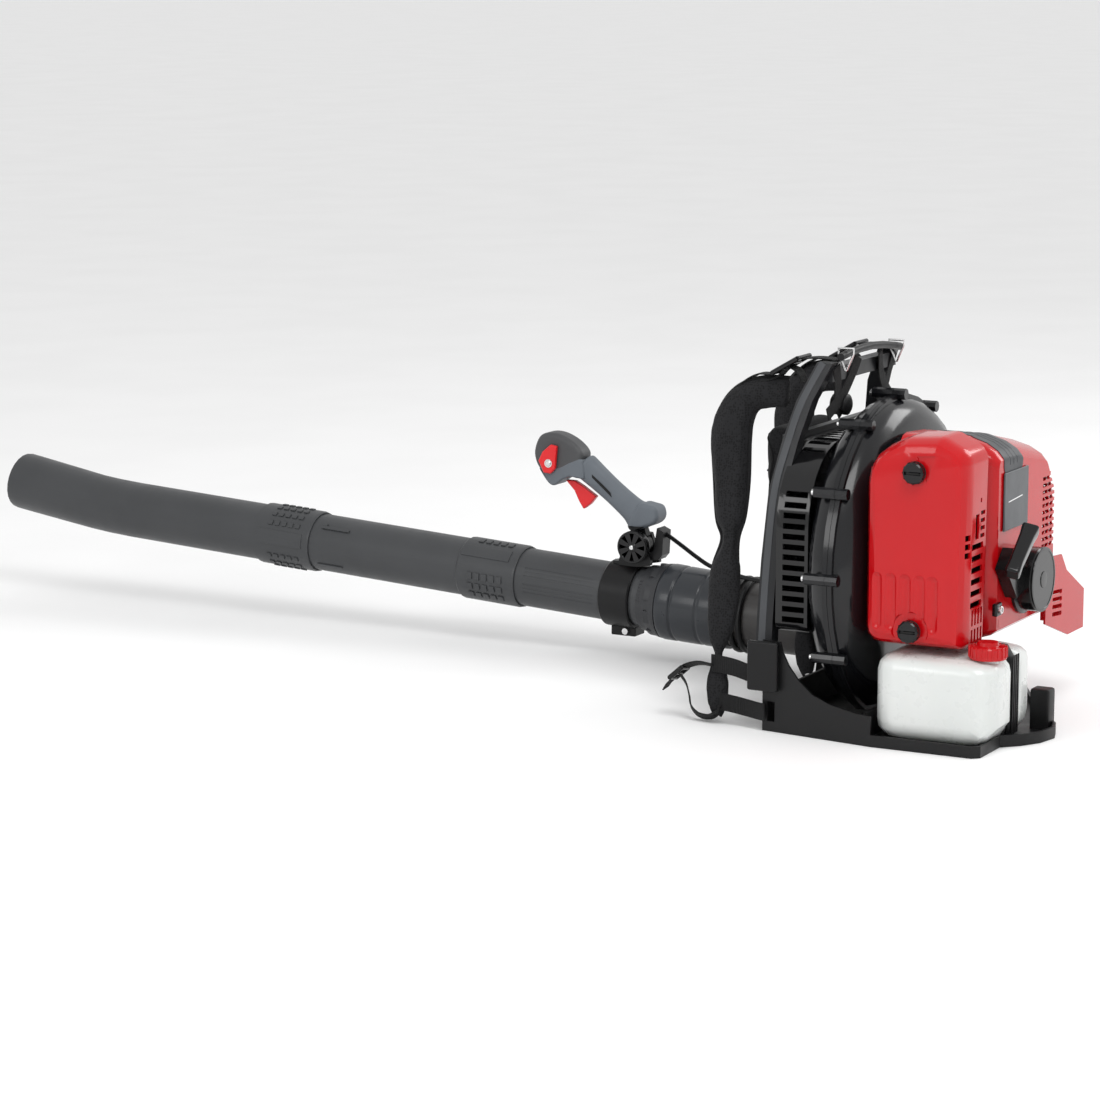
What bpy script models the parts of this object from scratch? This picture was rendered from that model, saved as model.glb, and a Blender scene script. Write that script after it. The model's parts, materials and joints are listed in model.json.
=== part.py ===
"""Backpack leaf blower, in metres, +Z up. The operator faces -Y and the operator's left is +X.
Sizes below are in millimetres. The floor is z = 0 and the engine shaft runs along Y at x = 0."""

import math

import bmesh
import bpy
from mathutils import Matrix, Vector

MM = 0.001

# Engine, fan and starter axes, parallel to Y
SHAFT_Z = 214
STARTER_Z = 206
SCROLL_Z = 222
SCROLL_RADIUS = 226
SCROLL_FLOOR = 16
SEAM_Y = -80
BOSS_ANGLES = (-30, 0, 30, 60, 90, 120, 150, 180)

# Air tube: one axis in the plane x = TUBE_X, rising to the front. PITCH_AT is inside the bellows
TUBE_X = -165
TUBE_AT = (-540, 90)
TUBE_SLOPE = 0.066
TUBE_WALL = 2.4
PITCH_AT = (TUBE_X, -470, 85.4)

# Tilt pivot of the control handle: Y and Z
PIVOT = (-560, 172)

# Starter grip
PULL_AT = (103, 153, 262)
PULL_LONG = Vector((-0.79, 0, 0.61))
PULL_WAY = Vector((0.588, 0.25, 0.769))

COLOURS = {
    "frame_plastic": ((0.012, 0.012, 0.013), 0.4, 0.0),
    "scroll_plastic": ((0.01, 0.01, 0.012), 0.25, 0.0),
    "red_plastic": ((0.62, 0.01, 0.012), 0.2, 0.0),
    "tube_plastic": ((0.045, 0.047, 0.05), 0.42, 0.0),
    "grip_shell": ((0.06, 0.06, 0.062), 0.5, 0.0),
    "grip_rubber": ((0.13, 0.15, 0.17), 0.6, 0.0),
    "bellows_rubber": ((0.05, 0.056, 0.066), 0.3, 0.0),
    "black_plastic": ((0.012, 0.012, 0.012), 0.45, 0.0),
    "label_grey": ((0.07, 0.075, 0.08), 0.4, 0.0),
    "tank_plastic": ((0.78, 0.8, 0.76), 0.4, 0.0),
    "pad_fabric": ((0.012, 0.012, 0.013), 0.9, 0.0),
    "webbing": ((0.012, 0.012, 0.012), 0.85, 0.0),
    "zinc_steel": ((0.7, 0.7, 0.7), 0.3, 1.0),
    "cast_aluminium": ((0.5, 0.5, 0.5), 0.45, 1.0),
    "muffler_steel": ((0.3, 0.29, 0.28), 0.4, 1.0),
    "filter_foam": ((0.2, 0.2, 0.18), 0.9, 0.0),
    "clear_rubber": ((0.5, 0.3, 0.2), 0.3, 0.0),
}


def start():
    for old in list(bpy.data.objects):
        bpy.data.objects.remove(old)
    for name in ("backpack_leaf_blower", "cutters"):
        group = bpy.data.collections.new(name)
        bpy.context.scene.collection.children.link(group)
    bpy.data.collections["cutters"].hide_render = True


def material(slot):
    found = bpy.data.materials.get(slot)
    if found:
        return found
    colour, rough, metal = COLOURS[slot]
    made = bpy.data.materials.new(slot)
    made.use_nodes = True
    shader = made.node_tree.nodes["Principled BSDF"]
    shader.inputs["Base Color"].default_value = (*colour, 1)
    shader.inputs["Roughness"].default_value = rough
    shader.inputs["Metallic"].default_value = metal
    made.diffuse_color = (*colour, 1)
    return made


def finish(name, bm, slot):
    """The mesh as an object. With no slot it is a cutter."""
    bmesh.ops.remove_doubles(bm, verts=bm.verts, dist=0.002 * MM)
    bmesh.ops.recalc_face_normals(bm, faces=bm.faces)
    mesh = bpy.data.meshes.new(name)
    bm.to_mesh(mesh)
    bm.free()
    made = bpy.data.objects.new(name, mesh)
    if slot:
        mesh.materials.append(material(slot))
        bpy.data.collections["backpack_leaf_blower"].objects.link(made)
    else:
        bpy.data.collections["cutters"].objects.link(made)
        made.hide_render = True
        made.display_type = "WIRE"
    return made


def bevel(made, width, segments=2, angle=40):
    step = made.modifiers.new("Bevel", "BEVEL")
    step.width = width * MM
    step.segments = segments
    step.limit_method = "ANGLE"
    step.angle_limit = math.radians(angle)
    return made


def boolean(made, other, operation):
    step = made.modifiers.new(operation.title(), "BOOLEAN")
    step.operation = operation
    step.solver = "EXACT"
    step.object = other
    return made


def cut(made, *others):
    for other in others:
        boolean(made, other, "DIFFERENCE")
    return made


def join(made, *others):
    for other in others:
        boolean(made, other, "UNION")
    return made


def loft(name, rings, slot, closed=False):
    """A skin over equal rings of points in mm, with end caps unless the rings close on themselves."""
    bm = bmesh.new()
    rows = [[bm.verts.new(Vector(p) * MM) for p in ring] for ring in rings]
    count = len(rows[0])
    pairs = list(zip(rows, rows[1:]))
    if closed:
        pairs.append((rows[-1], rows[0]))
    for a, b in pairs:
        for i in range(count):
            j = (i + 1) % count
            bm.faces.new((a[i], a[j], b[j], b[i]))
    if not closed:
        bm.faces.new(rows[0])
        bm.faces.new(rows[-1])
    return finish(name, bm, slot)


def prism(name, outline, axis, lo, hi, slot):
    """The outline, in the plane across axis 0, 1 or 2, carried from lo to hi."""
    rings = []
    for level in (lo, hi):
        ring = []
        for point in outline:
            full = list(point)
            full.insert(axis, level)
            ring.append(full)
        rings.append(ring)
    return loft(name, rings, slot)


def box(name, lo, hi, slot, round_edge=0, segments=2):
    outline = [(lo[0], lo[1]), (hi[0], lo[1]), (hi[0], hi[1]), (lo[0], hi[1])]
    made = prism(name, outline, 2, lo[2], hi[2], slot)
    if round_edge:
        bevel(made, round_edge, segments)
    return made


def turn(name, at, along, profile, slot, steps=32):
    """Spins (distance along, radius) points about the axis. Ends off the axis close into a ring."""
    bm = bmesh.new()
    points = [bm.verts.new((radius * MM, 0, dist * MM)) for dist, radius in profile]
    edges = [bm.edges.new(pair) for pair in zip(points, points[1:])]
    if profile[0][1] > 0 or profile[-1][1] > 0:
        edges.append(bm.edges.new((points[-1], points[0])))
    bmesh.ops.spin(
        bm, geom=points + edges, cent=(0, 0, 0), axis=(0, 0, 1), angle=math.tau, steps=steps
    )
    aim = Vector((0, 0, 1)).rotation_difference(Vector(along).normalized()).to_matrix().to_4x4()
    bmesh.ops.transform(bm, matrix=Matrix.Translation(Vector(at) * MM) @ aim, verts=bm.verts)
    return finish(name, bm, slot)


def rod(name, a, b, radius, slot, steps=24, end=None):
    a, b = Vector(a), Vector(b)
    long = (b - a).length
    far = radius if end is None else end
    return turn(name, a, b - a, [(0, 0), (0, radius), (long, far), (long, 0)], slot, steps)


def circle(centre, across, up, radius, count=24, flat=1.0):
    return [
        centre + across * radius * math.cos(t) + up * radius * flat * math.sin(t)
        for t in (math.tau * i / count for i in range(count))
    ]


def ways(points):
    """The direction of travel at each point of a path."""
    found = []
    for i in range(len(points)):
        step = points[min(i + 1, len(points) - 1)] - points[max(i - 1, 0)]
        found.append(step.normalized())
    return found


def pipe(name, path, outer, inner, slot, count=28, side=Vector((1, 0, 0))):
    """A pipe along the path. outer and inner hold one radius a point, and inner None makes it solid."""
    path = [Vector(p) for p in path]
    rings = []
    for point, way, radius in zip(path, ways(path), outer):
        up = way.cross(side).normalized()
        rings.append(circle(point, up.cross(way), up, radius, count))
    if inner is None:
        return loft(name, rings, slot)
    back = []
    for point, way, radius in zip(path, ways(path), inner):
        up = way.cross(side).normalized()
        back.append(circle(point, up.cross(way), up, radius, count))
    return loft(name, rings + back[::-1], slot, closed=True)


def axis_point(y):
    return Vector((TUBE_X, y, TUBE_AT[1] + (TUBE_AT[0] - y) * TUBE_SLOPE))


def straight(name, ys, outer, inner, slot, count=28):
    return pipe(name, [axis_point(y) for y in ys], outer, inner, slot, count)


def inset(outline, depth):
    """The outline moved inwards by depth, whichever way it runs."""
    pairs = zip(outline, outline[1:] + outline[:1])
    if sum(a[0] * b[1] - a[1] * b[0] for a, b in pairs) < 0:
        depth = -depth
    moved = []
    for i, point in enumerate(outline):
        before = Vector(outline[i - 1])
        here = Vector(point)
        after = Vector(outline[(i + 1) % len(outline)])
        a = (here - before).normalized()
        b = (after - here).normalized()
        normal = Vector((-(a.y + b.y), a.x + b.x)).normalized()
        lean = max(0.5, normal.dot(Vector((-a.y, a.x))))
        moved.append(tuple(here + normal * depth / lean))
    return moved


def rounded(corners, radius, steps=4):
    """An anticlockwise outline with its corners rounded. radius is one number or one for each corner."""
    outline = []
    for i, corner in enumerate(corners):
        here = Vector(corner)
        a = (Vector(corners[i - 1]) - here).normalized()
        b = (Vector(corners[(i + 1) % len(corners)]) - here).normalized()
        size = radius[i] if isinstance(radius, (list, tuple)) else radius
        half = a.angle(b) / 2
        reach = size / math.tan(half)
        centre = here + (a + b).normalized() * size / math.sin(half)
        first, last = here + a * reach - centre, here + b * reach - centre
        sweep = first.angle_signed(last)
        for k in range(steps + 1):
            t = -sweep * k / steps
            cos, sin = math.cos(t), math.sin(t)
            spun = Vector((first.x * cos - first.y * sin, first.x * sin + first.y * cos))
            outline.append(tuple(centre + spun))
    return outline


def strap(name, path, widths, across, slot, thick):
    """A flat padded band: path points, half widths, the width direction and half thickness at each point."""
    path = [Vector(p) for p in path]
    rings = []
    for i, (point, way) in enumerate(zip(path, ways(path))):
        wide = Vector(across[i])
        wide = (wide - way * wide.dot(way)).normalized()
        deep = way.cross(wide).normalized()
        ring = []
        for t in (math.tau * k / 12 for k in range(12)):
            cos, sin = math.cos(t), math.sin(t)
            ring.append(
                point
                + wide * widths[i] * math.copysign(abs(cos) ** 0.6, cos)
                + deep * thick[i] * math.copysign(abs(sin) ** 0.6, sin)
            )
        rings.append(ring)
    return loft(name, rings, slot)


def elbow_path():
    return [
        (-108, -81, 90),
        (-132, -83, 87),
        (-150, -92, 84),
        (-161, -107, 81),
        (TUBE_X, -126, 79),
        (TUBE_X, -190, 77),
        (TUBE_X, -300, 77),
        axis_point(-390),
        axis_point(-432),
    ]


def elbow_clearance(name):
    radii = [36, 36, 38.5, 42.5, 46.5, 50.4, 52, 52, 52, 52]
    return pipe(name, [(-92, -80, 92)] + elbow_path(), radii, None, None, 24)


def make_base():
    outline = [
        (-216, -180), (216, -180), (241, -7), (241, 140), (232, 150), (160, 150), (138, 172),
        (109, 189), (72, 196), (46, 188), (24, 172), (2, 154), (-60, 120), (-200, 46),
        (-234, 14), (-241, -7),
    ]  # fmt: skip
    tray = prism("base_tray", outline, 2, 0, 16, "frame_plastic")
    cut(tray, prism("tray_hollow", inset(outline, 4.5), 2, 5, 30, None))
    wall = [
        (-180, 1), (-7, 1), (-7, 42), (-30, 43), (-72, 50), (-100, 60), (-121, 76), (-138, 96),
        (-148, 114), (-152, 128), (-180, 128),
    ]  # fmt: skip
    for side in (1, -1):
        rings = []
        for offset in (0, -4):
            rings.append([(side * (216 + offset + (y + 180) * 0.1445), y, z) for y, z in wall])
        join(tray, loft(f"gusset_{side}", rings, None))
    join(tray, box("front_wall", (-215, -180, 1), (215, -175.5, 50), None))
    join(tray, box("corner_post", (28, 151, 2), (54, 180, 62), None, 4))
    join(tray, box("tank_stop", (60, -30, 2), (214, -24, 40), None))
    cut(tray, elbow_clearance("tray_elbow_clear"))
    for side in (1, -1):
        slot = ((side * 210, -172, 14), (side * 232, -160, 42))
        lo = [min(a, b) for a, b in zip(*slot)]
        hi = [max(a, b) for a, b in zip(*slot)]
        cut(tray, box(f"webbing_slot_{side}", lo, hi, None))


RAIL = [
    (108, -135, 505, 12), (124, -158, 453, 12), (144, -170, 398, 12), (159, -183, 329, 12),
    (173, -187, 233, 12), (183, -188, 149, 12), (190, -188, 60, 12),
]  # fmt: skip


def rail(side, name, slot, gap=0.0):
    rings = []
    for x, y, z, half in RAIL:
        x *= side
        wide, deep = 11 + gap, half + gap
        rings.append([
            (x - wide, y - deep, z), (x + wide, y - deep, z), (x + wide, y + deep, z), (x - wide, y + deep, z)
        ])  # fmt: skip
    return loft(name, rings, slot)


def make_frame():
    frame = rail(1, "back_frame", "frame_plastic")
    join(frame, rail(-1, "rail_right", None))
    join(frame, box("top_cross", (-112, -146, 478), (112, -126, 498), None))
    join(frame, box("middle_cross", (-150, -184, 385), (150, -172, 405), None))
    join(frame, box("low_cross", (-188, -190, 140), (188, -180, 158), None))
    cut(frame, elbow_clearance("frame_elbow_clear"))
    half = [(150, 162), (147, 233), (133, 329), (120, 381)]
    panel = half + [(-x, z) for x, z in reversed(half)]
    back = prism("back_panel", panel, 1, -180, -175, "frame_plastic")
    for z in (190, 250, 310):
        cut(back, box(f"panel_slot_{z}", (-70, -190, z), (70, -165, z + 22), None, 8))
    bar = [
        (108, -116, 513), (80, -116, 516), (40, -116, 518), (0, -116, 518), (-40, -116, 515),
        (-80, -116, 510), (-104, -116, 506),
    ]  # fmt: skip
    pipe("carry_bar", bar, [5.5] * 7, None, "black_plastic", 14, Vector((0, 1, 0)))
    for side, name in ((1, "hook_left"), (-1, "hook_right")):
        x = side * 90
        top = 516.8 + 6.4 * max(side, 0)
        loop = [
            (x, -128, top), (x, -104, top), (x, -105, top - 8), (x, -115, top - 31),
            (x, -117, top - 31), (x, -127, top - 8),
        ]  # fmt: skip
        rings = []
        for i, point in enumerate(loop):
            here, nxt = Vector(point), Vector(loop[(i + 1) % len(loop)])
            way = (nxt - Vector(loop[i - 1])).normalized()
            out = way.cross(Vector((1, 0, 0))).normalized()
            rings.append(circle(here, Vector((1, 0, 0)), out, 1.7, 10))
        loft(name, rings, "zinc_steel", closed=True)
    for side, name in ((1, "isolator_left"), (-1, "isolator_right")):
        lo, hi = sorted((side * 221.5, side * 231))
        box(name, (lo, -198, 58), (hi, -152, 128), "black_plastic", 3)
    turn(
        "isolator_top", (62, -121, 441), (0, -1, 0),
        [(0, 0), (0, 10), (3, 15), (9, 15), (12, 10), (16, 10), (18, 15), (24, 15), (27, 10), (28, 0)],
        "black_plastic", 16,
    )  # fmt: skip


def cage_outline(step):
    return inset(rounded([(-198, 138), (198, 138), (198, 396), (-198, 396)], [14, 14, 112, 112], 7), step)


def make_intake():
    cage = prism("intake_cage", cage_outline(0), 1, -170, -122, "scroll_plastic")
    cut(cage, prism("cage_hollow", cage_outline(5), 1, -165, -110, None))
    bm = bmesh.new()
    spans = [((-230, -160, 152 + 14.5 * k), (230, -127, 160 + 14.5 * k)) for k in range(13)]
    spans += [((-132 + 20 * k, -160, 350), (-122 + 20 * k, -127, 420)) for k in range(14)]
    for lo, hi in spans:
        lo, hi = Vector(lo) * MM, Vector(hi) * MM
        made = bmesh.ops.create_cube(bm, size=1)
        for vert in made["verts"]:
            vert.co = lo + Vector([(hi[i] - lo[i]) * (vert.co[i] + 0.5) for i in range(3)])
    slots = finish("cage_slots", bm, None)
    cut(cage, slots)
    cut(cage, rod("cage_centre_hole", (0, -180, SHAFT_Z), (0, -150, SHAFT_Z), 40, None, 24))
    for side in (1, -1):
        cut(cage, rail(side, f"cage_rail_clear_{side}", None, 0.6))
    cut(cage, elbow_clearance("cage_elbow_clear"))


def scroll(step, y):
    ring = []
    for i in range(40):
        t = math.tau * i / 40
        radius = SCROLL_RADIUS - step
        z = SCROLL_Z + radius * math.sin(t)
        ring.append((radius * math.cos(t), y, max(z, SCROLL_FLOOR + step)))
    return ring


def bosses(tag, y_low, y_high):
    made = []
    for angle in BOSS_ANGLES:
        t = math.radians(angle)
        x, z = 230 * math.cos(t), SCROLL_Z + 230 * math.sin(t)
        made.append(rod(f"boss_{tag}_{angle}", (x, y_low, z), (x, y_high, z), 8, None, 8))
    return made


def make_scroll():
    levels = ((34, -119.5), (18, -116), (7, -104), (3, -88), (-3, -87.5), (-3, SEAM_Y - 0.3))
    front = loft("scroll_front", [scroll(s, y) for s, y in levels], "scroll_plastic")
    join(front, *bosses("front", -112, SEAM_Y - 0.3))
    cut(front, loft("front_cavity", [scroll(s, y) for s, y in ((36, -116), (11, -100), (7, -70))], None))
    cut(front, rod("intake_eye", (0, -130, SHAFT_Z), (0, -100, SHAFT_Z), 92, None, 28))
    cut(front, elbow_clearance("front_elbow_clear"))
    levels = ((-3, SEAM_Y + 0.3), (-3, -73), (3, -72.5), (6, -64), (15, -53), (32, -45), (56, -41.5))
    rear = loft("scroll_rear", [scroll(s, y) for s, y in levels], "scroll_plastic")
    join(rear, *bosses("rear", SEAM_Y + 0.3, -62))
    levels = ((7, -90), (9, -68), (20, -56), (56, -46))
    cut(rear, loft("rear_cavity", [scroll(s, y) for s, y in levels], None))
    cut(rear, rod("shaft_eye", (0, -50, SHAFT_Z), (0, -20, SHAFT_Z), 16, None, 24))
    cut(rear, elbow_clearance("rear_elbow_clear"))


def make_impeller():
    hub = turn(
        "impeller", (0, -62, SHAFT_Z), (0, -1, 0),
        [(0, 7), (0, 118), (3, 118), (4, 50), (14, 26), (34, 18), (36, 16), (36, 7)],
        "black_plastic", 24,
    )  # fmt: skip
    for i in range(8):
        t = math.tau * i / 8
        blade = []
        for k in range(4):
            radius = 20 + 32 * k
            lean = t + 0.5 * (k / 3) ** 1.5
            blade.append((radius * math.cos(lean), radius * math.sin(lean)))
        across = Vector((-math.sin(t + 0.3), math.cos(t + 0.3))) * 1.2
        outline = [(x + across.x, SHAFT_Z + z + across.y) for x, z in blade]
        outline += [(x - across.x, SHAFT_Z + z - across.y) for x, z in reversed(blade)]
        join(hub, prism(f"blade_{i}", outline, 1, -94, -63, None))


def make_engine():
    case = box("crankcase", (-48, -27, 158), (48, 64, 262), "cast_aluminium")
    room = [(0, 0), (0, 12), (38, 12), (38, 36), (82, 36), (82, 12), (120, 12), (120, 0)]
    cut(case, turn("crank_room", (0, -40, SHAFT_Z), (0, 1, 0), room, None, 24))
    cut(case, rod("case_mouth", (0, 20, SHAFT_Z + 5), (0, 20, 280), 24, None, 20))
    barrel = rod("cylinder", (0, 20, 262.4), (0, 20, 356), 32, "cast_aluminium", 20)
    for i in range(6):
        z = 278 + i * 14
        join(barrel, box(f"fin_{i}", (-50, -24, z), (50, 64, z + 2.4), None))
    cut(barrel, rod("bore", (0, 20, 250), (0, 20, 340), 25, None, 24))
    cut(barrel, rod("plug_hole", (0, 20, 330), (0, 20, 370), 6.6, None, 16))
    turn(
        "spark_plug", (0, 20, 343), (0, 0, 1),
        [(0, 0), (0, 5.8), (13.6, 5.8), (13.6, 10), (22, 10), (22, 6), (40, 5), (46, 3), (46, 0)],
        "zinc_steel", 16,
    )  # fmt: skip
    crown = [(0, 21), (0, 24.4), (34, 24.4), (36, 22), (36, 0), (31, 0), (31, 21)]
    turn("piston", (0, 20, 296), (0, 0, 1), crown, "cast_aluminium", 28)
    crank = turn(
        "crankshaft", (0, -98.5, SHAFT_Z), (0, 1, 0),
        [(0, 0), (0, 6.6), (103, 6.6), (103, 9), (108, 9), (108, 30), (113, 30), (113, 8), (125, 8),
         (125, 30), (130, 30), (130, 9), (134, 9), (134, 7), (186, 7), (186, 0)],
        "zinc_steel", 14,
    )  # fmt: skip
    fly = rod("flywheel_disc", (0, 72, SHAFT_Z), (0, 80, SHAFT_Z), 42, None, 32)
    join(crank, fly)
    muffler = box("muffler", (-122, -18, 226), (-52.5, 60, 300), "muffler_steel", 9)
    cut(muffler, box("muffler_fin_clear", (-53, -30, 200), (-40, 80, 320), None))
    carb = box("carburettor", (52, 0, 244), (92, 40, 284), "cast_aluminium", 3)
    join(carb, rod("carb_cup", (72, 20, 232), (72, 20, 250), 15, None, 16))
    cut(carb, rod("primer_pocket", (86, 20, 258), (110, 20, 258), 11.7, None, 20))
    plate = prism("filter_plate", inset(cover_outline(), 8), 0, 118, 124, "black_plastic")
    cut(plate, rod("carb_port", (110, 20, 264), (130, 20, 264), 14, None, 16))
    box("air_filter", (124.6, -6, 214), (172, 74, 328), "filter_foam", 8)
    dome = [(0, 0), (0, 11), (3, 11), (8, 9.5), (12, 5), (13, 0)]
    turn("primer_bulb", (92.5, 20, 258), (1, 0, 0), dome, "clear_rubber", 20)
    lever = rod("choke_lever", (124.6, 88, 258), (131, 88, 258), 7, "black_plastic", 16)
    join(lever, box("choke_tab", (125, 88, 255), (130, 103, 261), None))


def cover_outline():
    corners = [(-38, 134), (108, 134), (112, 404), (70, 425), (18, 421), (-38, 392)]
    return rounded(corners, [24, 10, 26, 20, 30, 56], 3)


def make_covers():
    shape = cover_outline()
    levels = ((0, 127), (0, 178), (3, 192), (9, 201), (18, 205))
    rings = [[(x, y, z) for y, z in inset(shape, step)] for step, x in levels]
    cover = loft("air_cleaner_cover", rings, "red_plastic")
    hollow = ((3, 110), (3, 178), (6, 190), (12, 198), (21, 201.5))
    cut(cover, loft("cover_hollow", [[(x, y, z) for y, z in inset(shape, s)] for s, x in hollow], None))
    for i, z in enumerate((190, 206, 222, 238, 254, 270)):
        cut(cover, box(f"cover_vent_{i}", (136, 98, z), (176, 125, z + 8), None))
    for name, y, z in (("cover_knob_upper", 38, 376), ("cover_knob_lower", 34, 158)):
        cut(cover, rod(f"{name}_hole", (190, y, z), (215, y, z), 5.5, None, 16))
        knob = turn(
            name, (188, y, z), (1, 0, 0),
            [(0, 0), (0, 4.6), (17.6, 4.6), (17.6, 13), (19, 15), (27, 15), (29, 13), (29, 0)],
            "black_plastic", 20,
        )  # fmt: skip
        cut(knob, box(f"{name}_slot_a", (212, y - 12, z - 2.2), (222, y + 12, z + 2.2), None))
    corners = [(-134, 132), (112, 132), (114, 414), (24, 408), (-96, 384), (-134, 322)]
    outline = rounded(corners, [16, 16, 26, 60, 34, 40], 3)
    levels = ((0, -25), (0, 66), (3, 92), (8, 108), (15, 117))
    drop = ((0, 0), (0, 0), (0, 6), (0, 12), (0, 18))
    rings, holes = [], []
    for (step, y), (_, lower) in zip(levels, drop):
        ring = []
        for x, z in inset(outline, step):
            ring.append((x, y, z - lower * max(0.0, (z - 300) / 124)))
        rings.append(ring)
    for (step, y), (_, lower) in zip(((4, -40), (4, 66), (7, 91), (12, 105), (19, 113)), drop):
        ring = []
        for x, z in inset(outline, step):
            ring.append((x, y, z - lower * max(0.0, (z - 300) / 124)))
        holes.append(ring)
    shroud = loft("engine_shroud", rings, "red_plastic")
    cut(shroud, loft("shroud_hollow", holes, None))
    cut(shroud, box("shroud_side_window", (96, -14, 150), (140, 100, 340), None))
    cut(shroud, rod("starter_window", (0, 100, SHAFT_Z), (0, 130, SHAFT_Z), 46, None, 32))
    bm = bmesh.new()
    for k in range(11):
        lo, hi = Vector((-170, 84, 236 + 9.6 * k)) * MM, Vector((-72, 130, 241 + 9.6 * k)) * MM
        made = bmesh.ops.create_cube(bm, size=1)
        for vert in made["verts"]:
            vert.co = lo + Vector([(hi[i] - lo[i]) * (vert.co[i] + 0.5) for i in range(3)])
    cut(shroud, finish("shroud_vents", bm, None))


def make_starter():
    shell = [
        (0, 34), (0, 50), (4, 50), (6, 45), (26, 45), (30, 42), (30, 0), (26, 0), (26, 38), (4, 38),
        (4, 34),
    ]  # fmt: skip
    drum = turn("starter_case", (0, 117.6, STARTER_Z), (0, 1, 0), shell, "black_plastic", 24)
    arm = prism("starter_arm", [(30, 200), (70, 190), (112, 236), (84, 262), (46, 244)], 1, 118.5, 136, None)
    join(drum, arm)
    inside = [(0, 0), (0, 38), (22, 38), (22, 0)]
    cut(drum, turn("arm_inside", (0, 121.6, STARTER_Z), (0, 1, 0), inside, None, 28))
    groove = [(0, 0), (0, 33), (2, 33), (3, 22), (9, 22), (10, 33), (12, 33), (12, 0)]
    turn("starter_reel", (0, 124.5, STARTER_Z), (0, 1, 0), groove, "black_plastic", 20)
    centre = Vector(PULL_AT)
    wide = PULL_LONG.normalized()
    deep = wide.cross(PULL_WAY).normalized()
    rings = []
    half_grip = [(44, 8, 7), (41, 12, 10), (16, 11, 10)]
    sections = [(-t, half, thick) for t, half, thick in half_grip] + [(0, 14, 11)] + half_grip[::-1]
    for t, half, thick in sections:
        rings.append(circle(centre + wide * t, PULL_WAY.normalized(), deep, half, 16, thick / half))
    loft("starter_grip", rings, "black_plastic")
    box("label_plate", (-6, 117.6, 283), (84, 120.5, 364), "label_grey", 1, 1)


def make_guard():
    panel = [(-56, 131), (-60, 226), (-118, 222), (-140, 196), (-214, 157), (-214, 100), (-150, 100)]
    guard = prism("muffler_guard", panel[::-1], 1, 128, 131, "red_plastic")
    join(guard, box("guard_side", (-214, 66, 104), (-210.5, 130.5, 156), None))
    for i in range(4):
        z = 134 + i * 10.5
        slot = rounded([(-122, z), (-84, z + 3), (-84, z + 9), (-122, z + 6)], 2.6, 3)
        cut(guard, prism(f"guard_slot_{i}", slot, 1, 120, 140, None))


def make_tank():
    outline = rounded(
        [(36, -14), (228, -14), (228, 164), (146, 160), (142, 138), (98, 138), (94, 152), (36, 150)],
        [20, 34, 34, 10, 6, 6, 10, 30], 3,
    )  # fmt: skip
    levels = ((22, 8), (8, 13), (1, 24), (0, 36), (0, 104), (2, 114), (8, 121), (20, 125))
    rings = []
    for step, z in levels:
        shrink = step / 90
        ring = []
        for x, y in outline:
            rear = 143 if z < 20 else 150 if z < 30 else 200
            ring.append((x + (130 - x) * shrink, min(y + (70 - y) * shrink * 1.2, rear), z))
        rings.append(ring)
    tank = loft("fuel_tank", rings, "tank_plastic")
    neck = rod("tank_neck", (181, 138, 112), (181, 138, 131), 15, None, 24)
    join(tank, neck)
    cut(tank, rod("neck_bore", (181, 138, 121), (181, 138, 140), 12, None, 24))
    turn(
        "fuel_cap", (181, 138, 126.5), (0, 0, 1),
        [(0, 17), (0, 25.5), (15, 25.5), (17, 24), (18, 15), (23, 14), (23, 0), (5, 0), (5, 17)],
        "red_plastic", 24,
    )  # fmt: skip
    band = [(119, 147, 8), (119, 149, 20), (119, 150, 60), (119, 148, 112), (119, 137, 130), (119, 105, 131)]
    strap("tank_band", band, [13] * 6, [(1, 0, 0)] * 6, "black_plastic", [4.5] * 6)


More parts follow.
